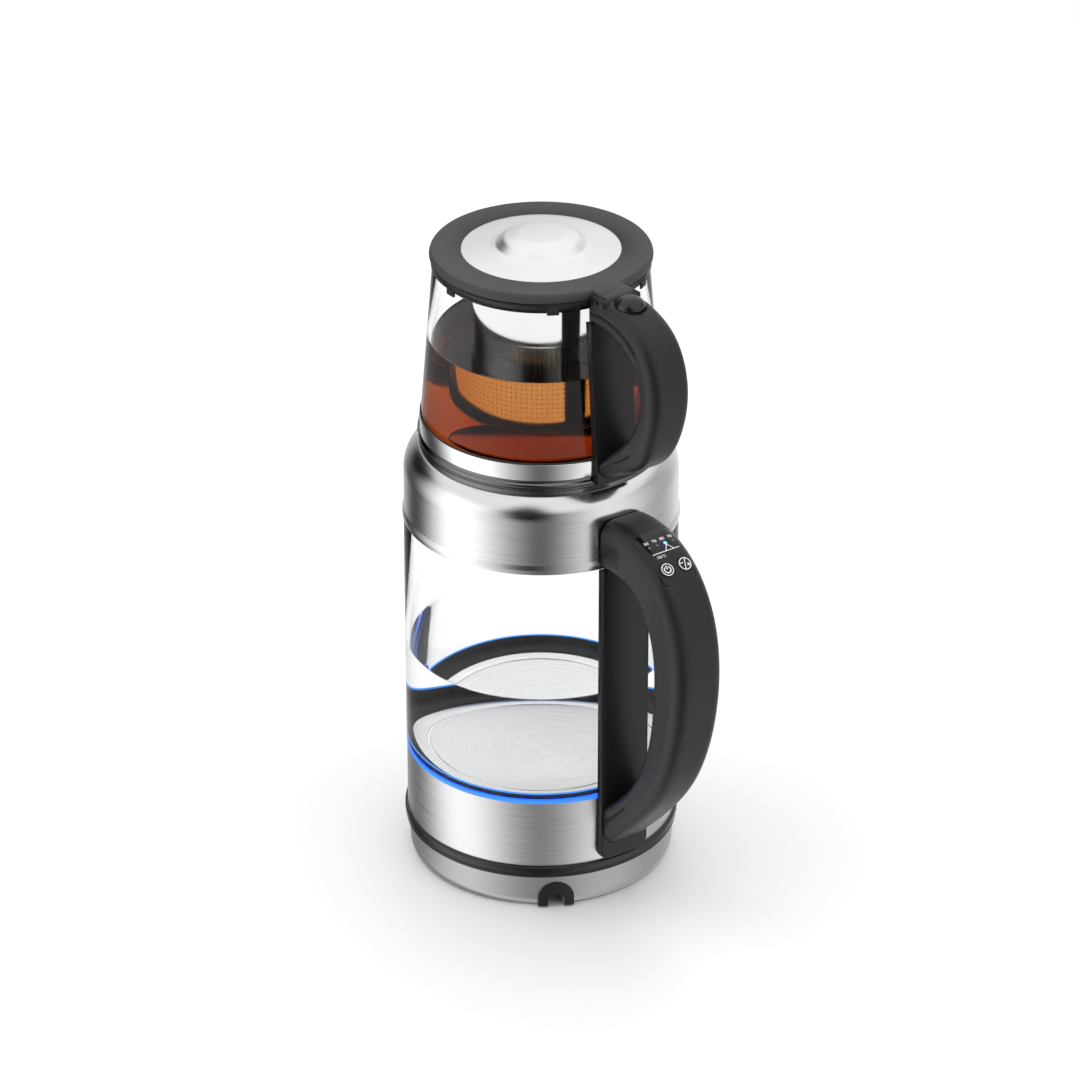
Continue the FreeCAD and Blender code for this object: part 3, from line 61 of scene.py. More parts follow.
# %% Geometry Nodes helpers
def new_tree(name, inputs):
    tree = bpy.data.node_groups.new(name, "GeometryNodeTree")
    tree.interface.new_socket("Geometry", in_out="INPUT", socket_type="NodeSocketGeometry")
    for label, kind, value in inputs:
        socket = tree.interface.new_socket(label, in_out="INPUT", socket_type=kind)
        if value is not None:
            socket.default_value = value
    tree.interface.new_socket("Geometry", in_out="OUTPUT", socket_type="NodeSocketGeometry")
    return tree, tree.nodes.new("NodeGroupInput"), tree.nodes.new("NodeGroupOutput")


def node(tree, kind, **settings):
    made = tree.nodes.new(kind)
    for key, value in settings.items():
        setattr(made, key, value)
    return made


def math_node(tree, operation, first, second=None):
    made = node(tree, "ShaderNodeMath", operation=operation)
    for place, value in enumerate((first, second)):
        if value is None:
            continue
        if isinstance(value, (int, float)):
            made.inputs[place].default_value = value
        else:
            tree.links.new(value, made.inputs[place])
    return made.outputs[0]


def run_tree(obj, tree, values):
    """Runs a tree on an object and leaves its result as the object's plain mesh."""
    modifier = obj.modifiers.new("maker", "NODES")
    modifier.node_group = tree
    for item in tree.interface.items_tree:
        if item.in_out == "INPUT" and item.name in values:
            modifier[item.identifier] = values[item.name]
    bpy.context.view_layer.update()
    evaluated = obj.evaluated_get(bpy.context.evaluated_depsgraph_get())
    mesh = bpy.data.meshes.new_from_object(evaluated, preserve_all_data_layers=True,
                                           depsgraph=bpy.context.evaluated_depsgraph_get())
    obj.modifiers.remove(modifier)
    obj.data = mesh
    return obj


def turning_tree():
    tree, given, result = new_tree("turned from a half section", [
        ("Steps", "NodeSocketInt", 192), ("Material", "NodeSocketMaterial", None)])
    link = tree.links.new
    size = node(tree, "GeometryNodeAttributeDomainSize", component="MESH")
    link(given.outputs["Geometry"], size.inputs[0])
    rows = size.outputs["Point Count"]
    grid = node(tree, "GeometryNodeMeshGrid")
    link(math_node(tree, "ADD", given.outputs["Steps"], 1), grid.inputs["Vertices X"])
    link(rows, grid.inputs["Vertices Y"])
    index = node(tree, "GeometryNodeInputIndex").outputs[0]
    column = math_node(tree, "FLOOR", math_node(tree, "DIVIDE", math_node(tree, "ADD", index, 0.5), rows))
    row = math_node(tree, "SUBTRACT", index, math_node(tree, "MULTIPLY", column, rows))
    share = math_node(tree, "DIVIDE", column, given.outputs["Steps"])
    turn = math_node(tree, "MULTIPLY", share, 2 * math.pi)
    sample = node(tree, "GeometryNodeSampleIndex", data_type="FLOAT_VECTOR", domain="POINT")
    position = node(tree, "GeometryNodeInputPosition")
    link(given.outputs["Geometry"], sample.inputs["Geometry"])
    link(position.outputs[0], sample.inputs["Value"])
    link(row, sample.inputs["Index"])
    split = node(tree, "ShaderNodeSeparateXYZ")
    link(sample.outputs[0], split.inputs[0])
    join = node(tree, "ShaderNodeCombineXYZ")
    link(math_node(tree, "MULTIPLY", split.outputs[0], math_node(tree, "COSINE", turn)), join.inputs[0])
    link(math_node(tree, "MULTIPLY", split.outputs[0], math_node(tree, "SINE", turn)), join.inputs[1])
    link(split.outputs[2], join.inputs[2])
    move = node(tree, "GeometryNodeSetPosition")
    link(grid.outputs["Mesh"], move.inputs["Geometry"])
    link(join.outputs[0], move.inputs["Position"])
    weld = node(tree, "GeometryNodeMergeByDistance")
    weld.inputs["Distance"].default_value = 1e-6
    link(move.outputs[0], weld.inputs["Geometry"])
    real = node(tree, "GeometryNodeRealizeInstances")
    link(weld.outputs[0], real.inputs[0])
    paint = node(tree, "GeometryNodeSetMaterial")
    link(real.outputs[0], paint.inputs["Geometry"])
    link(given.outputs["Material"], paint.inputs["Material"])
    link(paint.outputs[0], result.inputs[0])
    return tree


TURNING = turning_tree()
print("tree:", TURNING.name)

# %% [markdown]
# A half section is a short list of corners, each with a small rounding, because nothing pressed or moulded
# has a knife edge. The rounding is an arc of a few points. After turning, the faces are pointed outwards
# and only edges sharper than a set angle stay sharp, so the light runs smoothly round each bead and lip.

# %% Half sections and turned pieces
STEPS = 192
EDGE = 0.25


def soften(corners):
    """Rounds each corner (reach, height, radius) of a half section with a short arc, in millimetres."""
    count = len(corners)
    path = []
    for i, corner in enumerate(corners):
        r = corner[2] if len(corner) > 2 else EDGE
        here = np.array(corner[:2], float)
        before = np.array(corners[i - 1][:2], float)
        after = np.array(corners[(i + 1) % count][:2], float)
        a = before - here
        b = after - here
        la = np.linalg.norm(a)
        lb = np.linalg.norm(b)
        a = a / la
        b = b / lb
        angle = math.acos(max(-1.0, min(1.0, float(a @ b))))
        if here[0] < 1e-6 or r <= 0 or angle > math.radians(176):
            path.append(tuple(here))
            continue
        back = min(r / math.tan(angle / 2), 0.45 * la, 0.45 * lb)
        r = back * math.tan(angle / 2)
        middle = (a + b) / np.linalg.norm(a + b)
        centre = here + middle * r / math.sin(angle / 2)
        start = here + a * back - centre
        end = here + b * back - centre
        spread = math.pi - angle
        steps = max(2, min(14, int(spread / math.radians(12)) + 1))
        for k in range(steps + 1):
            t = k / steps
            v = (math.sin((1 - t) * spread) * start + math.sin(t * spread) * end) / math.sin(spread)
            path.append(tuple(centre + v))
    return path


def arc(cx, cz, r, from_deg, to_deg, steps=10):
    span = [math.radians(from_deg + (to_deg - from_deg) * i / steps) for i in range(steps + 1)]
    return [(cx + r * math.cos(a), cz + r * math.sin(a), 0) for a in span]


def object_from(name, vertices, faces, edges=()):
    mesh = bpy.data.meshes.new(name)
    mesh.from_pydata([tuple(v) for v in vertices], list(edges), list(faces))
    obj = bpy.data.objects.new(name, mesh)
    bpy.context.scene.collection.objects.link(obj)
    return obj


def tidy_faces(obj, sharp=32.0, merge=1e-6):
    """Welds doubles, points the faces outwards and keeps only real edges sharp."""
    work = bmesh.new()
    work.from_mesh(obj.data)
    bmesh.ops.remove_doubles(work, verts=work.verts, dist=merge)
    bmesh.ops.dissolve_degenerate(work, edges=work.edges, dist=merge)
    bmesh.ops.recalc_face_normals(work, faces=work.faces)
    work.to_mesh(obj.data)
    work.free()
    obj.data.shade_smooth()
    obj.data.set_sharp_from_angle(angle=math.radians(sharp))
    return obj


def turned(name, corners, material, body, stands_for=(), steps=STEPS):
    path = soften(corners)
    path.append(path[0])
    points = [(r * mm, 0, z * mm) for r, z in path]
    obj = object_from(name, points, [], [(i, i + 1) for i in range(len(points) - 1)])
    run_tree(obj, TURNING, {"Steps": steps, "Material": material})
    tidy_faces(obj)
    return seat(obj, material, body, stands_for)


def seat(obj, material, body, stands_for=()):
    obj.data.materials.clear()
    obj.data.materials.append(material)
    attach(obj, body)
    if stands_for:
        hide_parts(*stands_for)
    print(obj.name, len(obj.data.polygons), "faces on", body)
    return obj


# %% [markdown]
# Two surface effects return on many pieces, so each is a node group with its own sizes: the fine lines of a
# circumferential brushing, and the slight unevenness of a moulded or polished skin. Both give only masks
# and heights; the shader itself stays in each material.

# %% Shared surface effects
def shader_group(name, inputs, outputs):
    tree = bpy.data.node_groups.new(name, "ShaderNodeTree")
    for label, value in inputs:
        socket = tree.interface.new_socket(label, in_out="INPUT", socket_type="NodeSocketFloat")
        socket.default_value = value
    for label in outputs:
        tree.interface.new_socket(label, in_out="OUTPUT", socket_type="NodeSocketFloat")
    return tree, tree.nodes.new("NodeGroupInput"), tree.nodes.new("NodeGroupOutput")


def noise(tree, vector, scale, detail, roughness=0.5):
    made = node(tree, "ShaderNodeTexNoise")
    tree.links.new(vector, made.inputs["Vector"])
    made.inputs["Detail"].default_value = detail
    made.inputs["Roughness"].default_value = roughness
    if isinstance(scale, (int, float)):
        made.inputs["Scale"].default_value = scale
    else:
        tree.links.new(scale, made.inputs["Scale"])
    return made.outputs["Fac"]


def ring_brushing():
    """Lines that run round the axis: quick change with height and reach, slow change round the turn."""
    sizes = [("Lines", 2600.0), ("Turn", 1.6)]
    tree, given, result = shader_group("ring brushing", sizes, ["Line"])
    link = tree.links.new
    place = node(tree, "ShaderNodeTexCoord").outputs["Object"]
    split = node(tree, "ShaderNodeSeparateXYZ")
    link(place, split.inputs[0])
    x, y, z = split.outputs
    turn = math_node(tree, "MULTIPLY", math_node(tree, "ARCTAN2", y, x), given.outputs["Turn"])
    reach = math_node(tree, "SQRT", math_node(tree, "ADD", math_node(tree, "MULTIPLY", x, x),
                                              math_node(tree, "MULTIPLY", y, y)))
    across = math_node(tree, "MULTIPLY", math_node(tree, "SUBTRACT", z, reach), given.outputs["Lines"])
    join = node(tree, "ShaderNodeCombineXYZ")
    link(turn, join.inputs[0])
    link(across, join.inputs[2])
    link(noise(tree, join.outputs[0], 1.0, 3.0, 0.7), result.inputs["Line"])
    return tree


def skin_grain():
    """The fine grain of a moulded skin, and slow patches where it is handled."""
    sizes = [("Grain", 2400.0), ("Patch", 30.0)]
    tree, given, result = shader_group("skin grain", sizes, ["Height", "Patch"])
    place = node(tree, "ShaderNodeTexCoord").outputs["Object"]
    tree.links.new(noise(tree, place, given.outputs["Grain"], 2.0, 0.6), result.inputs["Height"])
    tree.links.new(noise(tree, place, given.outputs["Patch"], 3.0, 0.55), result.inputs["Patch"])
    return tree


RING_BRUSHING = ring_brushing()
SKIN_GRAIN = skin_grain()
print("effects:", RING_BRUSHING.name, "and", SKIN_GRAIN.name)

# %% [markdown]
# Each finish is a small function that sets the constants on the shader and lets the effects vary colour and
# roughness a little. Colours are linear values judged against the picture of the real thing.

# %% Finishes
NOISE_LOW = 0.3
NOISE_HIGH = 0.7


def finish(name, slot, colour, roughness, metallic=0.0, **constants):
    material = bpy.data.materials.new(name)
    material.use_nodes = True
    shader = material.node_tree.nodes["Principled BSDF"]
    shader.inputs["Base Color"].default_value = (*colour, 1)
    shader.inputs["Roughness"].default_value = roughness
    shader.inputs["Metallic"].default_value = metallic
    for key, value in constants.items():
        shader.inputs[key.replace("_", " ")].default_value = value
    return material, material.node_tree, shader


def effect(tree, group, **values):
    made = node(tree, "ShaderNodeGroup", node_tree=group)
    for key, value in values.items():
        made.inputs[key].default_value = value
    return made


def spread(tree, source, low, high):
    made = node(tree, "ShaderNodeMapRange")
    tree.links.new(source, made.inputs["Value"])
    made.inputs["From Min"].default_value = NOISE_LOW
    made.inputs["From Max"].default_value = NOISE_HIGH
    made.inputs["To Min"].default_value = low
    made.inputs["To Max"].default_value = high
    return made.outputs["Result"]


def two_tones(tree, source, dark, light, target):
    ramp = node(tree, "ShaderNodeValToRGB")
    ramp.color_ramp.elements[0].position = NOISE_LOW
    ramp.color_ramp.elements[1].position = NOISE_HIGH
    ramp.color_ramp.elements[0].color = (*dark, 1)
    ramp.color_ramp.elements[1].color = (*light, 1)
    tree.links.new(source, ramp.inputs[0])
    tree.links.new(ramp.outputs[0], target)


def bump(tree, source, shader, strength, distance):
    made = node(tree, "ShaderNodeBump")
    made.inputs["Strength"].default_value = strength
    made.inputs["Distance"].default_value = distance
    tree.links.new(source, made.inputs["Height"])
    tree.links.new(made.outputs[0], shader.inputs["Normal"])


def grey(tone):
    return (tone, tone, tone)


def brushed_steel(name="brushed steel", tone=0.74, rough=0.27, pull=0.75):
    """Steel brushed round the axis; pull draws its reflections out across the lines."""
    material, tree, shader = finish(name, "brushed_steel", grey(tone), rough, 1.0, Anisotropic=pull)
    tangent = node(tree, "ShaderNodeTangent", direction_type="RADIAL", axis="Z")
    tree.links.new(tangent.outputs[0], shader.inputs["Tangent"])
    line = effect(tree, RING_BRUSHING).outputs["Line"]
    two_tones(tree, line, grey(tone * 0.86), grey(tone * 1.08), shader.inputs["Base Color"])
    tree.links.new(spread(tree, line, rough - 0.05, rough + 0.07), shader.inputs["Roughness"])
    bump(tree, line, shader, 0.10, 0.00004)
    return material


def polished_steel(name="polished steel", tone=0.86, rough=0.07):
    material, tree, shader = finish(name, "polished_steel", grey(tone), rough, 1.0)
    patch = effect(tree, SKIN_GRAIN, Grain=900.0, Patch=26.0).outputs["Patch"]
    tree.links.new(spread(tree, patch, rough, rough + 0.05), shader.inputs["Roughness"])
    two_tones(tree, patch, grey(tone * 0.96), grey(tone), shader.inputs["Base Color"])
    return material


def moulded(name, slot, tone, rough, grain=0.25, **constants):
    """A moulded skin: fine grain in its height, slow patches in its colour and roughness."""
    material, tree, shader = finish(name, slot, (tone, tone, tone * 1.01), rough, 0.0, **constants)
    skin = effect(tree, SKIN_GRAIN)
    patch = skin.outputs["Patch"]
    two_tones(tree, patch, grey(tone * 0.88), grey(tone * 1.1), shader.inputs["Base Color"])
    tree.links.new(spread(tree, patch, rough - 0.04, rough + 0.05), shader.inputs["Roughness"])
    bump(tree, skin.outputs["Height"], shader, grain, 0.00003)
    return material


def clear_glass(name="clear glass"):
    material, tree, shader = finish(name, "clear_glass", grey(1), 0.0, 0.0, IOR=CLEAR_INDEX)
    shader.inputs["Transmission Weight"].default_value = 1.0
    patch = effect(tree, SKIN_GRAIN, Grain=60.0, Patch=14.0).outputs["Patch"]
    tree.links.new(spread(tree, patch, 0.0, 0.012), shader.inputs["Roughness"])
    two_tones(tree, patch, (0.985, 0.99, 0.99), grey(1), shader.inputs["Base Color"])
    return material


def liquid(name, index, colour, density):
    """A clear body that takes more of the light the further the light goes in it."""
    material, tree, shader = finish(name, "clear_glass", grey(1), 0.0, 0.0, IOR=index)
    shader.inputs["Transmission Weight"].default_value = 1.0
    patch = effect(tree, SKIN_GRAIN, Grain=40.0, Patch=10.0).outputs["Patch"]
    two_tones(tree, patch, grey(0.985), grey(1), shader.inputs["Base Color"])
    absorb = node(tree, "ShaderNodeVolumeAbsorption")
    absorb.inputs["Color"].default_value = (*colour, 1)
    absorb.inputs["Density"].default_value = density
    tree.links.new(absorb.outputs[0], tree.nodes["Material Output"].inputs["Volume"])
    return material


def glowing(name, slot, colour, strength):
    material, tree, shader = finish(name, slot, colour, 0.35)
    patch = effect(tree, SKIN_GRAIN, Grain=500.0, Patch=40.0).outputs["Patch"]
    two_tones(tree, patch, tuple(c * 0.8 for c in colour), colour, shader.inputs["Base Color"])
    shader.inputs["Emission Color"].default_value = (*colour, 1)
    shader.inputs["Emission Strength"].default_value = strength
    return material


print("finishes: steel brushed or polished, moulding, glass, liquid and light")

# %% [markdown]
# Now each material of this tea maker is one line. Glass and water get an index well below the real one.
# With it the kettle's floor shows where the picture has it, both through the water's skin and through the
# side.

# %% The materials of the tea maker
CLEAR_INDEX = 1.12
TEA_INDEX = 1.31
STEEL = brushed_steel()
STEEL_BASE = brushed_steel("brushed steel of the base", 0.50, 0.36)
STEEL_TOP = brushed_steel("brushed steel of the shoulder", 0.74, 0.17, 0.25)
STEEL_FLOOR = brushed_steel("steel of the kettle floor", 0.86, 0.20)
POLISHED = polished_steel()
DARK_POLISHED = polished_steel("smoked steel of the neck", 0.17, 0.12)
SATIN = polished_steel("satin steel of the lid", 0.90, 0.32)
ZINC = polished_steel("zinc plate", 0.6, 0.3)
BLACK = moulded("satin black", "satin_black", 0.013, 0.40, Specular_IOR_Level=0.36)
BLACK_GLOSS = moulded("glossy black", "satin_black", 0.009, 0.16, 0.05)
PANEL = moulded("panel gloss", "gloss_black", 0.006, 0.10, 0.02, Specular_IOR_Level=0.40)
LID_GREY = moulded("matt dark grey", "lid_grey", 0.045, 0.62)
RUBBER = moulded("black silicone", "silicone", 0.022, 0.55)
GLASS = clear_glass()
WATER = liquid("water", CLEAR_INDEX, (0.9, 0.97, 1.0), 0.6)
TEA = liquid("tea", TEA_INDEX, (0.84, 0.53, 0.02), 60.0)
BLUE = glowing("lit blue ring", "light_guide", (0.02, 0.16, 1.0), 1.2)
PALE_BLUE = glowing("blue light in the glass edge", "light_guide", (0.03, 0.27, 0.85), 0.8)
BLUE_DOT = glowing("lit blue dot", "light_guide", (0.05, 0.25, 1.0), 5.0)
DOT_OFF = moulded("unlit dot", "gloss_black", 0.09, 0.3)
# The white print also emits a little light: a painted glow, since print is no lamp.
WHITE_PRINT_PAINTED_GLOW = glowing("white print with painted glow", "gloss_black", (0.85, 0.85, 0.85), 0.25)
BRASS = moulded("plain brass", "contact_brass", 0.5, 0.3)
BOARD = moulded("circuit board", "circuit_board", 0.06, 0.5)
SHEATH = moulded("element sheath", "element_metal", 0.4, 0.45)
SLEEVING = moulded("wire sleeve", "wire_sleeve", 0.4, 0.6)

# %% [markdown]
# A few solids are not round, so they cannot be spun: the skirt with its cord arch, the spout, the handles
# and the lid ring with its hinge tongue. Their solids already have the right shape, but as loose triangles.
# A welded copy of the solid gets smooth shading between its real edges and takes the solid's place.

# %% Welded copies of the solids
def body_of_node(name):
    return next(body for body, names in frame["record"]["behaviour"]["bodies"].items() if name in names)


def welded(name, material, sharp=28.0):
    obj = bpy.data.objects.new("skin_" + name, frame["nodes"][name].data.copy())
    bpy.context.scene.collection.objects.link(obj)
    tidy_faces(obj, sharp, 2e-6)
    return seat(obj, material, body_of_node(name), (name,))


def coloured(material, *names):
    """A solid whose faces are right as they are keeps its mesh and only gets a finish."""
    for name in names:
        solid = frame["nodes"][name]
        solid.data.materials.clear()
        solid.data.materials.append(material)


# %% [markdown]
# The base is a steel skirt round a black plastic plate, on four rubber feet. The skirt has a small arch
# with the black mouth of the cord outlet in it. The plate is spun; its rim stands a little out over the
# skirt.

# %% Base
SEAM = 22.5
PLATE_R = 76

plate_top = [(17.6, 21.5), (69, 21.5, 0.3), (70.5, SEAM, 0.3), (PLATE_R, SEAM, 0.6), (PLATE_R, 20, 0.3)]
plate_under = [(73.1, 20, 0.1), (73.1, 17.5), (71.5, 17.5), (71.5, 19.4), (17.6, 19.4)]
welded("base_skirt", STEEL_BASE)
welded("cord_outlet", BLACK)
turned("base_plate", plate_top + plate_under, BLACK, "base", ("base_top_plate",))
welded("base_bottom_plate", BLACK)
welded("base_feet", RUBBER)
welded("base_screws", ZINC)
welded("base_socket", BLACK_GLOSS)
coloured(BRASS, "base_contacts", "coupler_pins")

# %% [markdown]
# The kettle's foot is a black ring, then a brushed steel band. Both are spun sheet or moulding with small
# edges. Between band and glass sits a clear ring that glows blue while the water heats, and some of its
# light runs up into the lower edge of the glass, as a thin line inside.

# %% Lower kettle
BODY_R = 75
BAND_LOW = 26.5
BAND_TOP = 66.8
BAND_IN = 74.2
GLOW_TOP = 69
FLOOR_TOP = 65
FLOOR_R = 61.4
GASKET_TOP = 71.6
GLASS_IN = 72.9

foot_under = [(26.3, 22.8), (28.3, 22.8), (29.8, SEAM), (76.5, SEAM, 0.7), (76.5, BAND_LOW, 0.7)]
foot_top = [(74.1, BAND_LOW, 0.1), (74.1, 32.5), (72.5, 32.5), (72.5, 25.5), (28.3, 25.5), (28.3, 33.5),
            (26.3, 33.5)]
turned("kettle_foot_ring", foot_under + foot_top, BLACK_GLOSS, "kettle", ("kettle_bottom_cover",))
band = [(BAND_IN, BAND_LOW, 0.1), (BODY_R, BAND_LOW, 0.2), (BODY_R, BAND_TOP, 0.35),
        (BAND_IN, BAND_TOP, 0.3)]
turned("lower_band", band, STEEL, "kettle", ("kettle_lower_band",))
glow = [(73.0, 61.8), (74.1, 61.8), (74.1, BAND_TOP), (75.1, BAND_TOP, 0.3), (75.1, GLOW_TOP, 0.3),
        (73.0, GLOW_TOP)]
turned("glow_ring", glow, BLUE, "kettle", ("light_ring",))
turned("glow_line", [(71.9, 71.4), (72.85, 71.4), (72.85, 72.2), (71.9, 72.2)], PALE_BLUE, "kettle")
groove = [(53.5, FLOOR_TOP), (53.5, 64.4, 0.1), (54.5, 64.4, 0.1), (54.5, FLOOR_TOP)]
floor_top = [(0, 63.8), (0, FLOOR_TOP)] + groove + [(FLOOR_R, FLOOR_TOP, 0.3), (FLOOR_R, 63.4)]
floor_flange = [(69, 63.4), (69, 62.2), (60.2, 62.2), (60.2, 63.8)]
turned("kettle_floor", floor_top + floor_flange, STEEL_FLOOR, "kettle", ("heater_plate",))
gasket_floor = [(61.5, 63.4), (61.5, 65.5, 0.5), (63.5, 66.4, 0.8), (71.6, 66.4, 0.3)]
gasket_wall = [(71.6, GASKET_TOP, 0.4), (GLASS_IN, GASKET_TOP, 0.4), (GLASS_IN, 63.4)]
turned("floor_gasket", gasket_floor + gasket_wall, RUBBER, "kettle", ("glass_seal_lower",))
welded("kettle_coupler", BLACK)
coloured(BOARD, "led_board", "control_board", "key_switches")
coloured(BLUE, "leds")
coloured(SHEATH, "heating_element", "thermostat", "temperature_sensor")
coloured(SLEEVING, "wiring_loom")
coloured(ZINC, "handle_screws", "lid_hinge_pin")
coloured(BLACK, "clamp_ring")

# %% [markdown]
# The kettle's glass is a plain drawn tube with fire-polished ends. The water in it reaches a hair into the
# glass and into the floor, so light passes from one to the next with no film of air between them. At its
# skin the water climbs the glass a little.

# %% Kettle glass and water
FINE = 256
INTO = 0.04
GLASS_OUT = 75.3
GLASS_TOP = 213
WATER_TOP = 130.8

wall = [(GLASS_IN, GLOW_TOP, 0.6), (GLASS_OUT, GLOW_TOP, 0.6), (GLASS_OUT, GLASS_TOP, 0.8),
        (GLASS_IN, GLASS_TOP, 0.8)]
turned("kettle_wall", wall, GLASS, "kettle", ("kettle_glass",), steps=FINE)
water_r = GLASS_IN + INTO
water_low = FLOOR_TOP - 0.5
water_skin = [(water_r, WATER_TOP + 1.1, 0.05), (72.3, WATER_TOP + 0.3, 0.8), (70.6, WATER_TOP, 1.5),
              (0, WATER_TOP, 0)]
turned("water", [(0, water_low, 0), (water_r, water_low, 0)] + water_skin, WATER, "kettle", steps=FINE)
top_gasket = [(71.7, 211, 0.4), (72.8, 211, 0.3), (72.8, GLASS_TOP), (BAND_IN, GLASS_TOP), (BAND_IN, 216),
              (71.7, 216, 0.5)]
turned("upper_gasket", top_gasket, RUBBER, "kettle", ("glass_seal_upper",))

# %% [markdown]
# The upper band has a rolled lip over the glass, a straight side and a full round shoulder. The shoulder is
# given as an arc in the half section, so it takes the soft dark and light patches of the room as one smooth
# form.

# %% Shoulder, neck and spout
SHOULDER_AT = (58.1, 237.5)
SHOULDER_ROUND = 17
SHEET = 0.8

lip = [(75.4, 209.8, 0.15), (76.0, 209.8, 0.25), (76.0, 212.4, 0.5), (75.1, 215.0, 0.8)]
shoulder_out = arc(*SHOULDER_AT, SHOULDER_ROUND, 0, 62.3, 16)
neck_seat = [(60.0, 252.5, 0), (60.0, 251.7, 0), (65.0, 251.6, 0)]
shoulder_in = arc(*SHOULDER_AT, SHOULDER_ROUND - SHEET, 60, 0, 12)
lip_in = [(74.3, 213.9, 0), (75.4, 213.1, 0)]
turned("shoulder", lip + shoulder_out + neck_seat + shoulder_in + lip_in, STEEL_TOP, "kettle",
       ("kettle_shoulder",), steps=FINE)
welded("neck_ring", DARK_POLISHED, 20)
welded("spout", STEEL_TOP, 40)
print("kettle standing")

# %% [markdown]
# The teapot is a tapered glass jug in a mirror-bright band, over a black pad. Band, pad, seal, collar and
# strainer sleeve are spun pieces. The tea is one more turned body, whose colour deepens with the way that
# light has to go.

# %% Teapot body
SEAT = 261.25
PAD_TOP = 262.65
BAND_OUT = 66
BAND_BORE = 65.1
POT_BAND_TOP = 270.75
POT_FOOT = 271.85
POT_FOOT_R = 65.3
POT_TALL = 86.8
POT_DRAWN_IN = 7.0
POT_RIM = POT_FOOT + POT_TALL
POT_WALL = 2.5
POT_FLOOR = 265.75
HEEL = 273.75
HEEL_AT = (54.9, 273.6)
HEEL_ROUND = 7.85
TEA_TOP = 315.9


def pot_r(z):
    return POT_FOOT_R - POT_DRAWN_IN * (z - POT_FOOT) / POT_TALL


pot_band = [(BAND_BORE, SEAT, 0), (BAND_OUT, SEAT, 0.8), (BAND_OUT, POT_BAND_TOP, 0.35),
            (65.2, POT_BAND_TOP, 0.2), (BAND_BORE, PAD_TOP, 0)]
turned("pot_band", pot_band, POLISHED, "teapot", ("teapot_base_cup",), steps=FINE)
pad_ring = [(53.4, SEAT, 0), (53.4, 257.25), (55.4, 257.25), (55.4, SEAT, 0)]
pad = [(0, SEAT, 0)] + pad_ring + [(BAND_BORE, SEAT, 0), (BAND_BORE, PAD_TOP, 0), (0, PAD_TOP, 0)]
turned("pot_pad", pad, BLACK, "teapot")
seal = [(65.2, POT_BAND_TOP), (65.9, POT_BAND_TOP), (65.9, POT_FOOT), (65.2, POT_FOOT)]
turned("pot_seal", seal, RUBBER, "teapot", ("teapot_seal",))
pot_outside = [(0, 262.75, 0), (BAND_BORE, 262.75, 4), (BAND_BORE, POT_FOOT, 0.1),
               (POT_FOOT_R, POT_FOOT, 0.3), (pot_r(POT_RIM), POT_RIM, 0.8)]
pot_inside = [(pot_r(POT_RIM) - POT_WALL, POT_RIM, 0.8), (pot_r(HEEL) - POT_WALL, HEEL, 0)]
heel = arc(*HEEL_AT, HEEL_ROUND, -2, -88, 10)
turned("pot_wall", pot_outside + pot_inside + heel + [(0, POT_FLOOR, 0)], GLASS, "teapot",
       ("teapot_glass",), steps=FINE)

tea_side = pot_r(TEA_TOP) - POT_WALL + INTO
tea_skin = [(tea_side - 0.09, TEA_TOP + 1.0, 0.05), (tea_side - 0.7, TEA_TOP + 0.25, 0.6),
            (tea_side - 2.3, TEA_TOP, 1.2), (0, TEA_TOP, 0)]
tea_heel = arc(*HEEL_AT, HEEL_ROUND + INTO, -88, -2, 10) + [(pot_r(HEEL) - POT_WALL + INTO, HEEL, 0)]
turned("tea", [(0, POT_FLOOR - INTO, 0)] + tea_heel + tea_skin, TEA, "teapot", steps=FINE)
welded("teapot_collar", BLACK)
sleeve = [(36.9, 326.8), (37.6, 326.8, 0.3), (37.6, 356.75, 0.6), (53.5, 356.75, 0.3), (53.5, 357.75, 0.3),
          (36.9, 357.75, 0.6)]
turned("strainer_sleeve", sleeve, POLISHED, "teapot", ("infuser_sleeve",))

# %% [markdown]
# The basket under the sleeve is sheet steel with small punched holes. That is hundreds of equal holes on a
# rule, so a Geometry Nodes tree makes it: one square tile with a round hole is repeated in rows, bent round
# the axis, welded into one sheet and given a thickness.

# %% Punched basket
HOLE_R = 0.13
HOLES_ROUND = 92
HOLE_ROWS = 20
BASKET_R = 36.2
BASKET_SHEET = 0.6
BASKET_LOW = 280.0
BASKET_HIGH = 334.8
CUP_LOW = 277
CUP_RIM = 280.4
CUP_SHEET = 0.7


def hole_tile():
    """A square tile, one unit wide, with a round hole in its middle."""
    rim = [(0.5, 0.5), (0, 0.5), (-0.5, 0.5), (-0.5, 0), (-0.5, -0.5), (0, -0.5), (0.5, -0.5), (0.5, 0)]
    sides = len(rim)
    turns = [2 * math.pi * (k + 0.5) / sides for k in range(sides)]
    points = [(HOLE_R * math.cos(a), HOLE_R * math.sin(a), 0) for a in turns] + [(x, y, 0) for x, y in rim]
    faces = [(k, sides + k, sides + (k + 1) % sides, (k + 1) % sides) for k in range(sides)]
    return points, faces


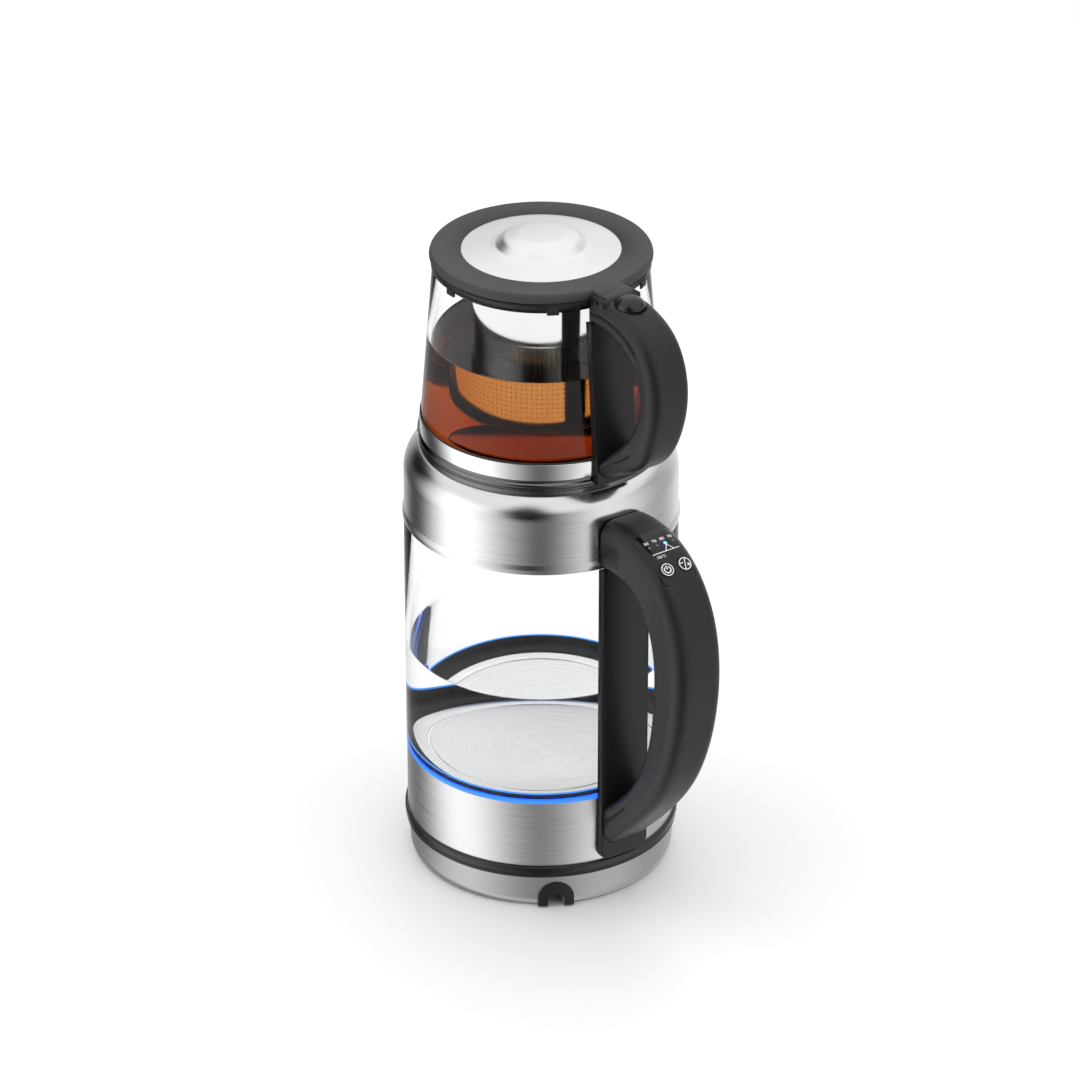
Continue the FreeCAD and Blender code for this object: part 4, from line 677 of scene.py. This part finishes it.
def sheet_tree():
    tree, given, result = new_tree("punched round sheet", [
        ("Columns", "NodeSocketInt", HOLES_ROUND), ("Rows", "NodeSocketInt", HOLE_ROWS),
        ("Radius", "NodeSocketFloat", BASKET_R * mm), ("Low", "NodeSocketFloat", BASKET_LOW * mm),
        ("High", "NodeSocketFloat", BASKET_HIGH * mm), ("Thickness", "NodeSocketFloat", BASKET_SHEET * mm),
        ("Material", "NodeSocketMaterial", None)])
    link = tree.links.new
    grid = node(tree, "GeometryNodeMeshGrid")
    grid.inputs["Size X"].default_value = 0
    grid.inputs["Size Y"].default_value = 0
    link(given.outputs["Columns"], grid.inputs["Vertices X"])
    link(given.outputs["Rows"], grid.inputs["Vertices Y"])
    index = node(tree, "GeometryNodeInputIndex").outputs[0]
    rows = given.outputs["Rows"]
    column = math_node(tree, "FLOOR", math_node(tree, "DIVIDE", math_node(tree, "ADD", index, 0.5), rows))
    row = math_node(tree, "SUBTRACT", index, math_node(tree, "MULTIPLY", column, rows))
    lay = node(tree, "ShaderNodeCombineXYZ")
    link(column, lay.inputs[0])
    link(row, lay.inputs[1])
    spread_out = node(tree, "GeometryNodeSetPosition")
    link(grid.outputs["Mesh"], spread_out.inputs["Geometry"])
    link(lay.outputs[0], spread_out.inputs["Position"])
    copies = node(tree, "GeometryNodeInstanceOnPoints")
    link(spread_out.outputs[0], copies.inputs["Points"])
    link(given.outputs["Geometry"], copies.inputs["Instance"])
    real = node(tree, "GeometryNodeRealizeInstances")
    link(copies.outputs[0], real.inputs[0])
    split = node(tree, "ShaderNodeSeparateXYZ")
    link(node(tree, "GeometryNodeInputPosition").outputs[0], split.inputs[0])
    share = math_node(tree, "DIVIDE", split.outputs[0], given.outputs["Columns"])
    turn = math_node(tree, "MULTIPLY", share, 2 * math.pi)
    rise = math_node(tree, "DIVIDE", math_node(tree, "ADD", split.outputs[1], 0.5), rows)
    height = math_node(tree, "SUBTRACT", given.outputs["High"], given.outputs["Low"])
    radius = given.outputs["Radius"]
    bend = node(tree, "ShaderNodeCombineXYZ")
    link(math_node(tree, "MULTIPLY", radius, math_node(tree, "COSINE", turn)), bend.inputs[0])
    link(math_node(tree, "MULTIPLY", radius, math_node(tree, "SINE", turn)), bend.inputs[1])
    raised = math_node(tree, "MULTIPLY", rise, height)
    link(math_node(tree, "ADD", given.outputs["Low"], raised), bend.inputs[2])
    curl = node(tree, "GeometryNodeSetPosition")
    link(real.outputs[0], curl.inputs["Geometry"])
    link(bend.outputs[0], curl.inputs["Position"])
    weld = node(tree, "GeometryNodeMergeByDistance")
    weld.inputs["Distance"].default_value = 1e-6
    link(curl.outputs[0], weld.inputs["Geometry"])
    thick = node(tree, "GeometryNodeExtrudeMesh", mode="FACES")
    thick.inputs["Individual"].default_value = False
    link(weld.outputs[0], thick.inputs["Mesh"])
    link(given.outputs["Thickness"], thick.inputs["Offset Scale"])
    both = node(tree, "GeometryNodeJoinGeometry")
    flip = node(tree, "GeometryNodeFlipFaces")
    link(weld.outputs[0], flip.inputs["Mesh"])
    link(thick.outputs["Mesh"], both.inputs[0])
    link(flip.outputs[0], both.inputs[0])
    last = node(tree, "GeometryNodeRealizeInstances")
    link(both.outputs[0], last.inputs[0])
    paint = node(tree, "GeometryNodeSetMaterial")
    link(last.outputs[0], paint.inputs["Geometry"])
    link(given.outputs["Material"], paint.inputs["Material"])
    link(paint.outputs[0], result.inputs[0])
    return tree


tile_points, tile_faces = hole_tile()
basket = object_from("punched_basket", tile_points, tile_faces)
run_tree(basket, sheet_tree(), {
    "Columns": HOLES_ROUND, "Rows": HOLE_ROWS, "Radius": BASKET_R * mm, "Low": BASKET_LOW * mm,
    "High": BASKET_HIGH * mm, "Thickness": BASKET_SHEET * mm, "Material": POLISHED})
tidy_faces(basket, 40)
cup = [(0, CUP_LOW, 0), (36.8, CUP_LOW, 3), (36.8, CUP_RIM, 0.2), (BASKET_R, CUP_RIM, 0.2),
       (BASKET_R, CUP_LOW + CUP_SHEET, 2.4), (0, CUP_LOW + CUP_SHEET, 0)]
turned("basket_cup", cup, POLISHED, "teapot")
seat(basket, POLISHED, "teapot", ("infuser_basket",))

# %% [markdown]
# The lid is a matt grey ring with a bright spun disc let into it, hinged at the top of the handle. The disc
# has a raised, soft-edged knob in one sweep with the plate round it.

# %% Lid
welded("lid_ring", LID_GREY, 30)
welded("lid_seal", RUBBER)
disc_top = [(41.4, 366.15), (43, 366.15, 0.1), (43, 367.5, 0.25), (27.5, 369.35, 3)]
knob_top = [(24.3, 370.2, 3), (20.2, 374.2, 6), (12.5, 376.05, 8), (0, 376.3, 0)]
knob_under = [(0, 375.4, 0), (12.2, 375.1, 8), (19.6, 373.4, 6), (23.6, 369.4, 3)]
disc_under = [(27.2, 368.5, 3), (41.4, 366.9, 0.2)]
turned("lid_plate", disc_top + knob_top + knob_under + disc_under, SATIN, "lid", ("lid_disc",), steps=FINE)
welded("lid_button", BLACK_GLOSS, 50)

# %% [markdown]
# Both handles are pairs of moulded shells round a hollow, fixed to a flat strip against the glass. Their
# copies are shaded smooth between the parting lines, and carry the fine grain of the mould.

# %% Handles
for shell in ("handle_strip", "handle_outer_shell", "handle_inner_shell", "teapot_handle_strip",
              "teapot_handle_outer", "teapot_handle_inner"):
    welded(shell, BLACK, 34)
welded("control_panel", PANEL, 40)
welded("power_key", PANEL, 40)
welded("temperature_key", PANEL, 40)

# %% [markdown]
# The white marks on the panel are printed, and their finish adds a faint painted glow on top of the white.
# Each mark is drawn flat and laid on the panel's slope. Then every point is dropped on the panel along its
# normal, so the print follows the curve a few hundredths of a millimetre above it.

# %% Laying print on the panel
LIFT = 0.05
KEY_LIFT = 0.06
DOT_LIFT = 0.07

panel_corners = []
panel_faces = []
for name in ("control_panel", "power_key", "temperature_key"):
    solid = frame["nodes"][name]
    shift = len(panel_corners)
    panel_corners += [solid.matrix_world @ v.co for v in solid.data.vertices]
    panel_faces += [[shift + i for i in p.vertices] for p in solid.data.polygons]
panel_skin = BVHTree.FromPolygons(panel_corners, panel_faces)


def panel_spot(reach, side):
    """The point and normal of the panel at a reach from the axis and a distance to the side."""
    above = Vector((reach * mm, side * mm, 0.3))
    hit, normal, _, _ = panel_skin.ray_cast(above, Vector((0, 0, -1)))
    return hit, normal


def lay_print(name, drawing, spot, lift=LIFT):
    """Lays a flat drawing, x to the right and y up the panel in millimetres, on the panel round a spot."""
    points, faces = drawing
    origin, normal = panel_spot(*spot)
    across = Vector((0, 1, 0))
    upward = normal.cross(across)
    upward = upward if upward.x < 0 else -upward
    placed = []
    for x, y in points:
        p = origin + across * x * mm + upward * y * mm
        hit, _, _, _ = panel_skin.ray_cast(p + normal * 4 * mm, -normal)
        placed.append((hit if hit else p) + normal * lift * mm)
    obj = object_from(name, placed, faces)
    work = bmesh.new()
    work.from_mesh(obj.data)
    for face in work.faces:
        if face.normal.dot(normal) < 0:
            face.normal_flip()
    work.to_mesh(obj.data)
    work.free()
    return obj


def key_spot(name):
    """Reach and side of the middle of a key's top, in millimetres."""
    solid = frame["nodes"][name]
    joint = next(j for j in frame["record"]["behaviour"]["joints"] if j["name"] == name + "_press")
    outward = -Vector(joint["axis"])
    corners = [solid.matrix_world @ v.co for v in solid.data.vertices]
    top = max(c.dot(outward) for c in corners)
    rim = [c for c in corners if c.dot(outward) > top - 0.1 * mm]
    return [(min(c[i] for c in rim) + max(c[i] for c in rim)) / 2 / mm for i in (0, 1)]


POWER_SPOT = key_spot("power_key")
WARMTH_SPOT = key_spot("temperature_key")
print("keys at", [round(v, 1) for v in POWER_SPOT + WARMTH_SPOT])

# %% [markdown]
# A mark is either a line of even width along a path, or a word. The paths are straight runs and arcs, with
# enough points to bend with the panel. The figures are plain ones, taken from the font as flat faces.

# %% Drawing flat marks
def line_strip(path, width, closed=False):
    """A flat line of even width along a path."""
    count = len(path)
    left = []
    right = []
    for i in range(count):
        a = Vector(path[i - 1] if i or closed else path[0])
        b = Vector(path[(i + 1) % count] if i < count - 1 or closed else path[-1])
        d = (b - a).normalized()
        n = Vector((-d.y, d.x)) * width / 2
        left.append(tuple(Vector(path[i]) + n))
        right.append(tuple(Vector(path[i]) - n))
    faces = []
    for i in range(count if closed else count - 1):
        j = (i + 1) % count
        faces.append((i, count + i, count + j, j))
    return left + right, faces


def ring_path(r, start=0, end=360, steps=40):
    closed = end - start == 360
    total = steps if closed else steps + 1
    turns = [math.radians(start + (end - start) * k / steps) for k in range(total)]
    return [(r * math.cos(a), r * math.sin(a)) for a in turns]


def straight(a, b, width, steps):
    """A straight line of even width from one point to another."""
    path = [(a[0] + (b[0] - a[0]) * k / steps, a[1] + (b[1] - a[1]) * k / steps) for k in range(steps + 1)]
    return line_strip(path, width)


def words(text, size):
    curve = bpy.data.curves.new("figures", "FONT")
    curve.body = text
    curve.size = size
    curve.align_x = "CENTER"
    curve.align_y = "CENTER"
    curve.resolution_u = 3
    carrier = bpy.data.objects.new("figures", curve)
    bpy.context.scene.collection.objects.link(carrier)
    bpy.context.view_layer.update()
    mesh = bpy.data.meshes.new_from_object(carrier.evaluated_get(bpy.context.evaluated_depsgraph_get()))
    points = [(v.co.x, v.co.y) for v in mesh.vertices]
    faces = [tuple(p.vertices) for p in mesh.polygons]
    bpy.data.objects.remove(carrier)
    return points, faces


print("marks: lines, rings and words")

# %% [markdown]
# The panel shows four warmth figures with a dot under each, the third dot lit. A rule with a small peak
# parts them from the two keys. The marks on a key ride on that key, so they go down with it.

# %% Figures, dots and key signs
FIGURE_STEP = 5.2
FIGURE_REACH = 105.4
DOT_REACH = 108.4
RULE_REACH = 112.8
BOIL_REACH = 115.0
RULE = 0.4
SIGN = 0.5
RING = 0.45
POWER = 0.6
KEY_PRINT = 3.4
DOT_R = 0.95
LIT = 2


def print_mark(name, drawing, spot, body="kettle", lift=LIFT):
    # Every mark takes the white print finish, with its painted glow.
    seat(lay_print(name, drawing, spot, lift), WHITE_PRINT_PAINTED_GLOW, body)


def beside(k):
    return FIGURE_STEP * (k - 1.5)


for k, figure in enumerate(("50", "70", "80", "90")):
    print_mark("figure_" + figure, words(figure, 2.9), (FIGURE_REACH, beside(k)))
print_mark("figure_boil", words("100°C", 2.3), (BOIL_REACH, -4.8))
print_mark("panel_rule", straight((-8.8, 0), (8.8, 0), RULE, 12), (RULE_REACH, 0))
print_mark("panel_peak_0", straight((-0.1, 0), (2.6, 3.9), RULE, 6), (RULE_REACH, 0))
print_mark("panel_peak_1", straight((2.6, 3.9), (5.3, 0), RULE, 6), (RULE_REACH, 0))
for name, drawing in (("key_circle_0", line_strip(ring_path(KEY_PRINT), RING, True)),
                      ("power_arc", line_strip(ring_path(1.9, 125, 415, 30), POWER)),
                      ("power_bar", straight((0, 0.2), (0, 2.5), POWER, 3))):
    print_mark(name, drawing, POWER_SPOT, "power_key", KEY_LIFT)
for name, drawing in (("key_circle_1", line_strip(ring_path(KEY_PRINT), RING, True)),
                      ("key_slash", straight((-1.3, -3.6), (1.3, 3.6), RING, 6)),
                      ("key_minus", straight((-2.9, 0.9), (-0.9, 0.9), SIGN, 2)),
                      ("key_plus_a", straight((0.9, -0.9), (2.9, -0.9), SIGN, 2)),
                      ("key_plus_b", straight((1.9, -1.9), (1.9, 0.1), SIGN, 2))):
    print_mark(name, drawing, WARMTH_SPOT, "temperature_key", KEY_LIFT)
for k in range(4):
    disc = (ring_path(DOT_R, steps=24), [tuple(range(24))])
    dot = lay_print(f"dot_{k}", disc, (DOT_REACH, beside(k)), DOT_LIFT)
    seat(dot, BLUE_DOT if k == LIT else DOT_OFF, "kettle")

# %% [markdown]
# The object stands on a plain pale floor, which only catches a soft shadow. Mirrors don't see the floor, so
# steel mirrors the tent below as well as above.

# %% Floor
FLOOR_HALF = 3
FLOOR_Z = -0.0002


def floor_material():
    material, tree, shader = finish("pale floor", "satin_black", grey(0.93), 0.6)
    patch = effect(tree, SKIN_GRAIN, Grain=120.0, Patch=3.0).outputs["Patch"]
    two_tones(tree, patch, grey(0.92), grey(0.95), shader.inputs["Base Color"])
    return material


corners = [(x * FLOOR_HALF, y * FLOOR_HALF, FLOOR_Z) for x, y in ((-1, -1), (1, -1), (1, 1), (-1, 1))]
floor = object_from("pale_floor", corners, [(0, 1, 2, 3)])
floor.data.materials.append(floor_material())
floor.visible_glossy = False
print("floor", 2 * FLOOR_HALF, "m wide")

# %% [markdown]
# Steel only looks like steel if it has something to mirror. The world here is a white tent with upright
# cards: each card is a bearing from the camera, in degrees, and how bright the tent is there. High up the
# cards fade into even white, and two soft dark patches give the shoulder its dark spots.

# %% The tent that the steel mirrors
VIEW_ACROSS = Vector((0.809, -0.588, 0)).normalized()
CARDS = [(-180, 0.75), (-158, 0.60), (-140, 0.05), (-118, 0.05), (-102, 0.70), (-84, 1.65), (-56, 1.50),
         (-38, 0.85), (-18, 0.32), (0, 0.05), (18, 0.35), (38, 0.95), (62, 1.2), (96, 0.55), (120, 0.45),
         (140, 0.75), (160, 1.0), (180, 0.75)]
CARD_FULL = 1.8
TOP_LIGHT = 1.05
TOP_FROM = 0.38
TOP_FULL = 0.62
PATCH_DEPTH = 0.97

world = bpy.data.worlds.new("white tent")
bpy.context.scene.world = world
world.use_nodes = True
sky = world.node_tree


def sky_math(operation, first, second=None):
    return math_node(sky, operation, first, second)


def soft_step(value, low, high):
    made = node(sky, "ShaderNodeMapRange", interpolation_type="SMOOTHSTEP")
    sky.links.new(value, made.inputs["Value"])
    made.inputs["From Min"].default_value = low
    made.inputs["From Max"].default_value = high
    return made.outputs["Result"]


def bearing_from_camera(x, y):
    """The angle round the axis, with nought towards the camera."""
    towards = math.atan2(VIEW_ACROSS.y, VIEW_ACROSS.x)
    c = math.cos(towards)
    s = math.sin(towards)
    ahead = sky_math("ADD", sky_math("MULTIPLY", x, c), sky_math("MULTIPLY", y, s))
    aside = sky_math("SUBTRACT", sky_math("MULTIPLY", y, c), sky_math("MULTIPLY", x, s))
    return sky_math("ARCTAN2", aside, ahead)


def card_light(bearing):
    ramp = node(sky, "ShaderNodeValToRGB")
    ramp.color_ramp.interpolation = "B_SPLINE"
    while len(ramp.color_ramp.elements) < len(CARDS):
        ramp.color_ramp.elements.new(0.5)
    for element, (degrees, light) in zip(ramp.color_ramp.elements, CARDS):
        element.position = (degrees + 180) / 360
        element.color = (*grey(light / CARD_FULL), 1)
    sky.links.new(sky_math("ADD", sky_math("DIVIDE", bearing, 2 * math.pi), 0.5), ramp.inputs[0])
    return sky_math("MULTIPLY", ramp.outputs[0], CARD_FULL)


def dark_patch(bearing, rise, degrees, height, wide, tall):
    """A soft dark patch: one inside, nought outside."""
    across = sky_math("DIVIDE", sky_math("SUBTRACT", bearing, math.radians(degrees)), wide)
    up = sky_math("DIVIDE", sky_math("SUBTRACT", rise, height), tall)
    away = sky_math("ADD", sky_math("MULTIPLY", across, across), sky_math("MULTIPLY", up, up))
    return sky_math("SUBTRACT", 1, soft_step(sky_math("SQRT", away), 0.35, 1.0))


split = node(sky, "ShaderNodeSeparateXYZ")
sky.links.new(node(sky, "ShaderNodeTexCoord").outputs["Generated"], split.inputs[0])
rise = split.outputs[2]
bearing = bearing_from_camera(split.outputs[0], split.outputs[1])
top = soft_step(rise, TOP_FROM, TOP_FULL)
below_top = sky_math("MULTIPLY", card_light(bearing), sky_math("SUBTRACT", 1, top))
tent = sky_math("ADD", below_top, sky_math("MULTIPLY", top, TOP_LIGHT))
patches = sky_math("MAXIMUM", dark_patch(bearing, rise, -12, 0.40, 0.50, 0.60),
                   dark_patch(bearing, rise, -131, 0.30, 0.50, 0.40))
shade = sky_math("SUBTRACT", 1, sky_math("MULTIPLY", patches, PATCH_DEPTH))
sky.links.new(sky_math("MULTIPLY", tent, shade), sky.nodes["Background"].inputs["Color"])
print(len(CARDS), "cards in the tent")

# %% [markdown]
# One broad lamp overhead adds light on the matt pieces, and mirrors don't see it. The camera is a long
# lens, far away, at the angle from which the round rims show as the picture has them.

# %% Lamp and camera
LAMP_HEIGHT = 1.79
LAMP_SIDE = 1.8
LAMP_POWER = 14
LENS = 181.2
CAMERA_AWAY = 2.98386
CAMERA_RISE = math.radians(28.1887)
AIM = Vector((0, 0, 0.19065))

lamp_data = bpy.data.lights.new("top_window", "AREA")
lamp_data.shape = "SQUARE"
lamp_data.size = LAMP_SIDE
lamp_data.energy = LAMP_POWER
lamp = bpy.data.objects.new("top_window", lamp_data)
bpy.context.scene.collection.objects.link(lamp)
lamp.location = (0, 0, LAMP_HEIGHT)
lamp.visible_glossy = False
bpy.context.scene.view_settings.view_transform = "Standard"

camera_data = bpy.data.cameras.new("camera")
camera = bpy.data.objects.new("camera", camera_data)
bpy.context.scene.collection.objects.link(camera)
camera_data.lens = LENS
camera_data.sensor_width = 36
camera_data.shift_x = -0.0011
camera_data.dof.use_dof = False
camera_data.clip_end = 50
sight = VIEW_ACROSS * math.cos(CAMERA_RISE) + Vector((0, 0, math.sin(CAMERA_RISE)))
camera.location = AIM + CAMERA_AWAY * sight
camera.rotation_euler = (-sight).to_track_quat("-Z", "Y").to_euler()
bpy.context.scene.camera = camera
print("camera at", [round(v, 3) for v in camera.location])
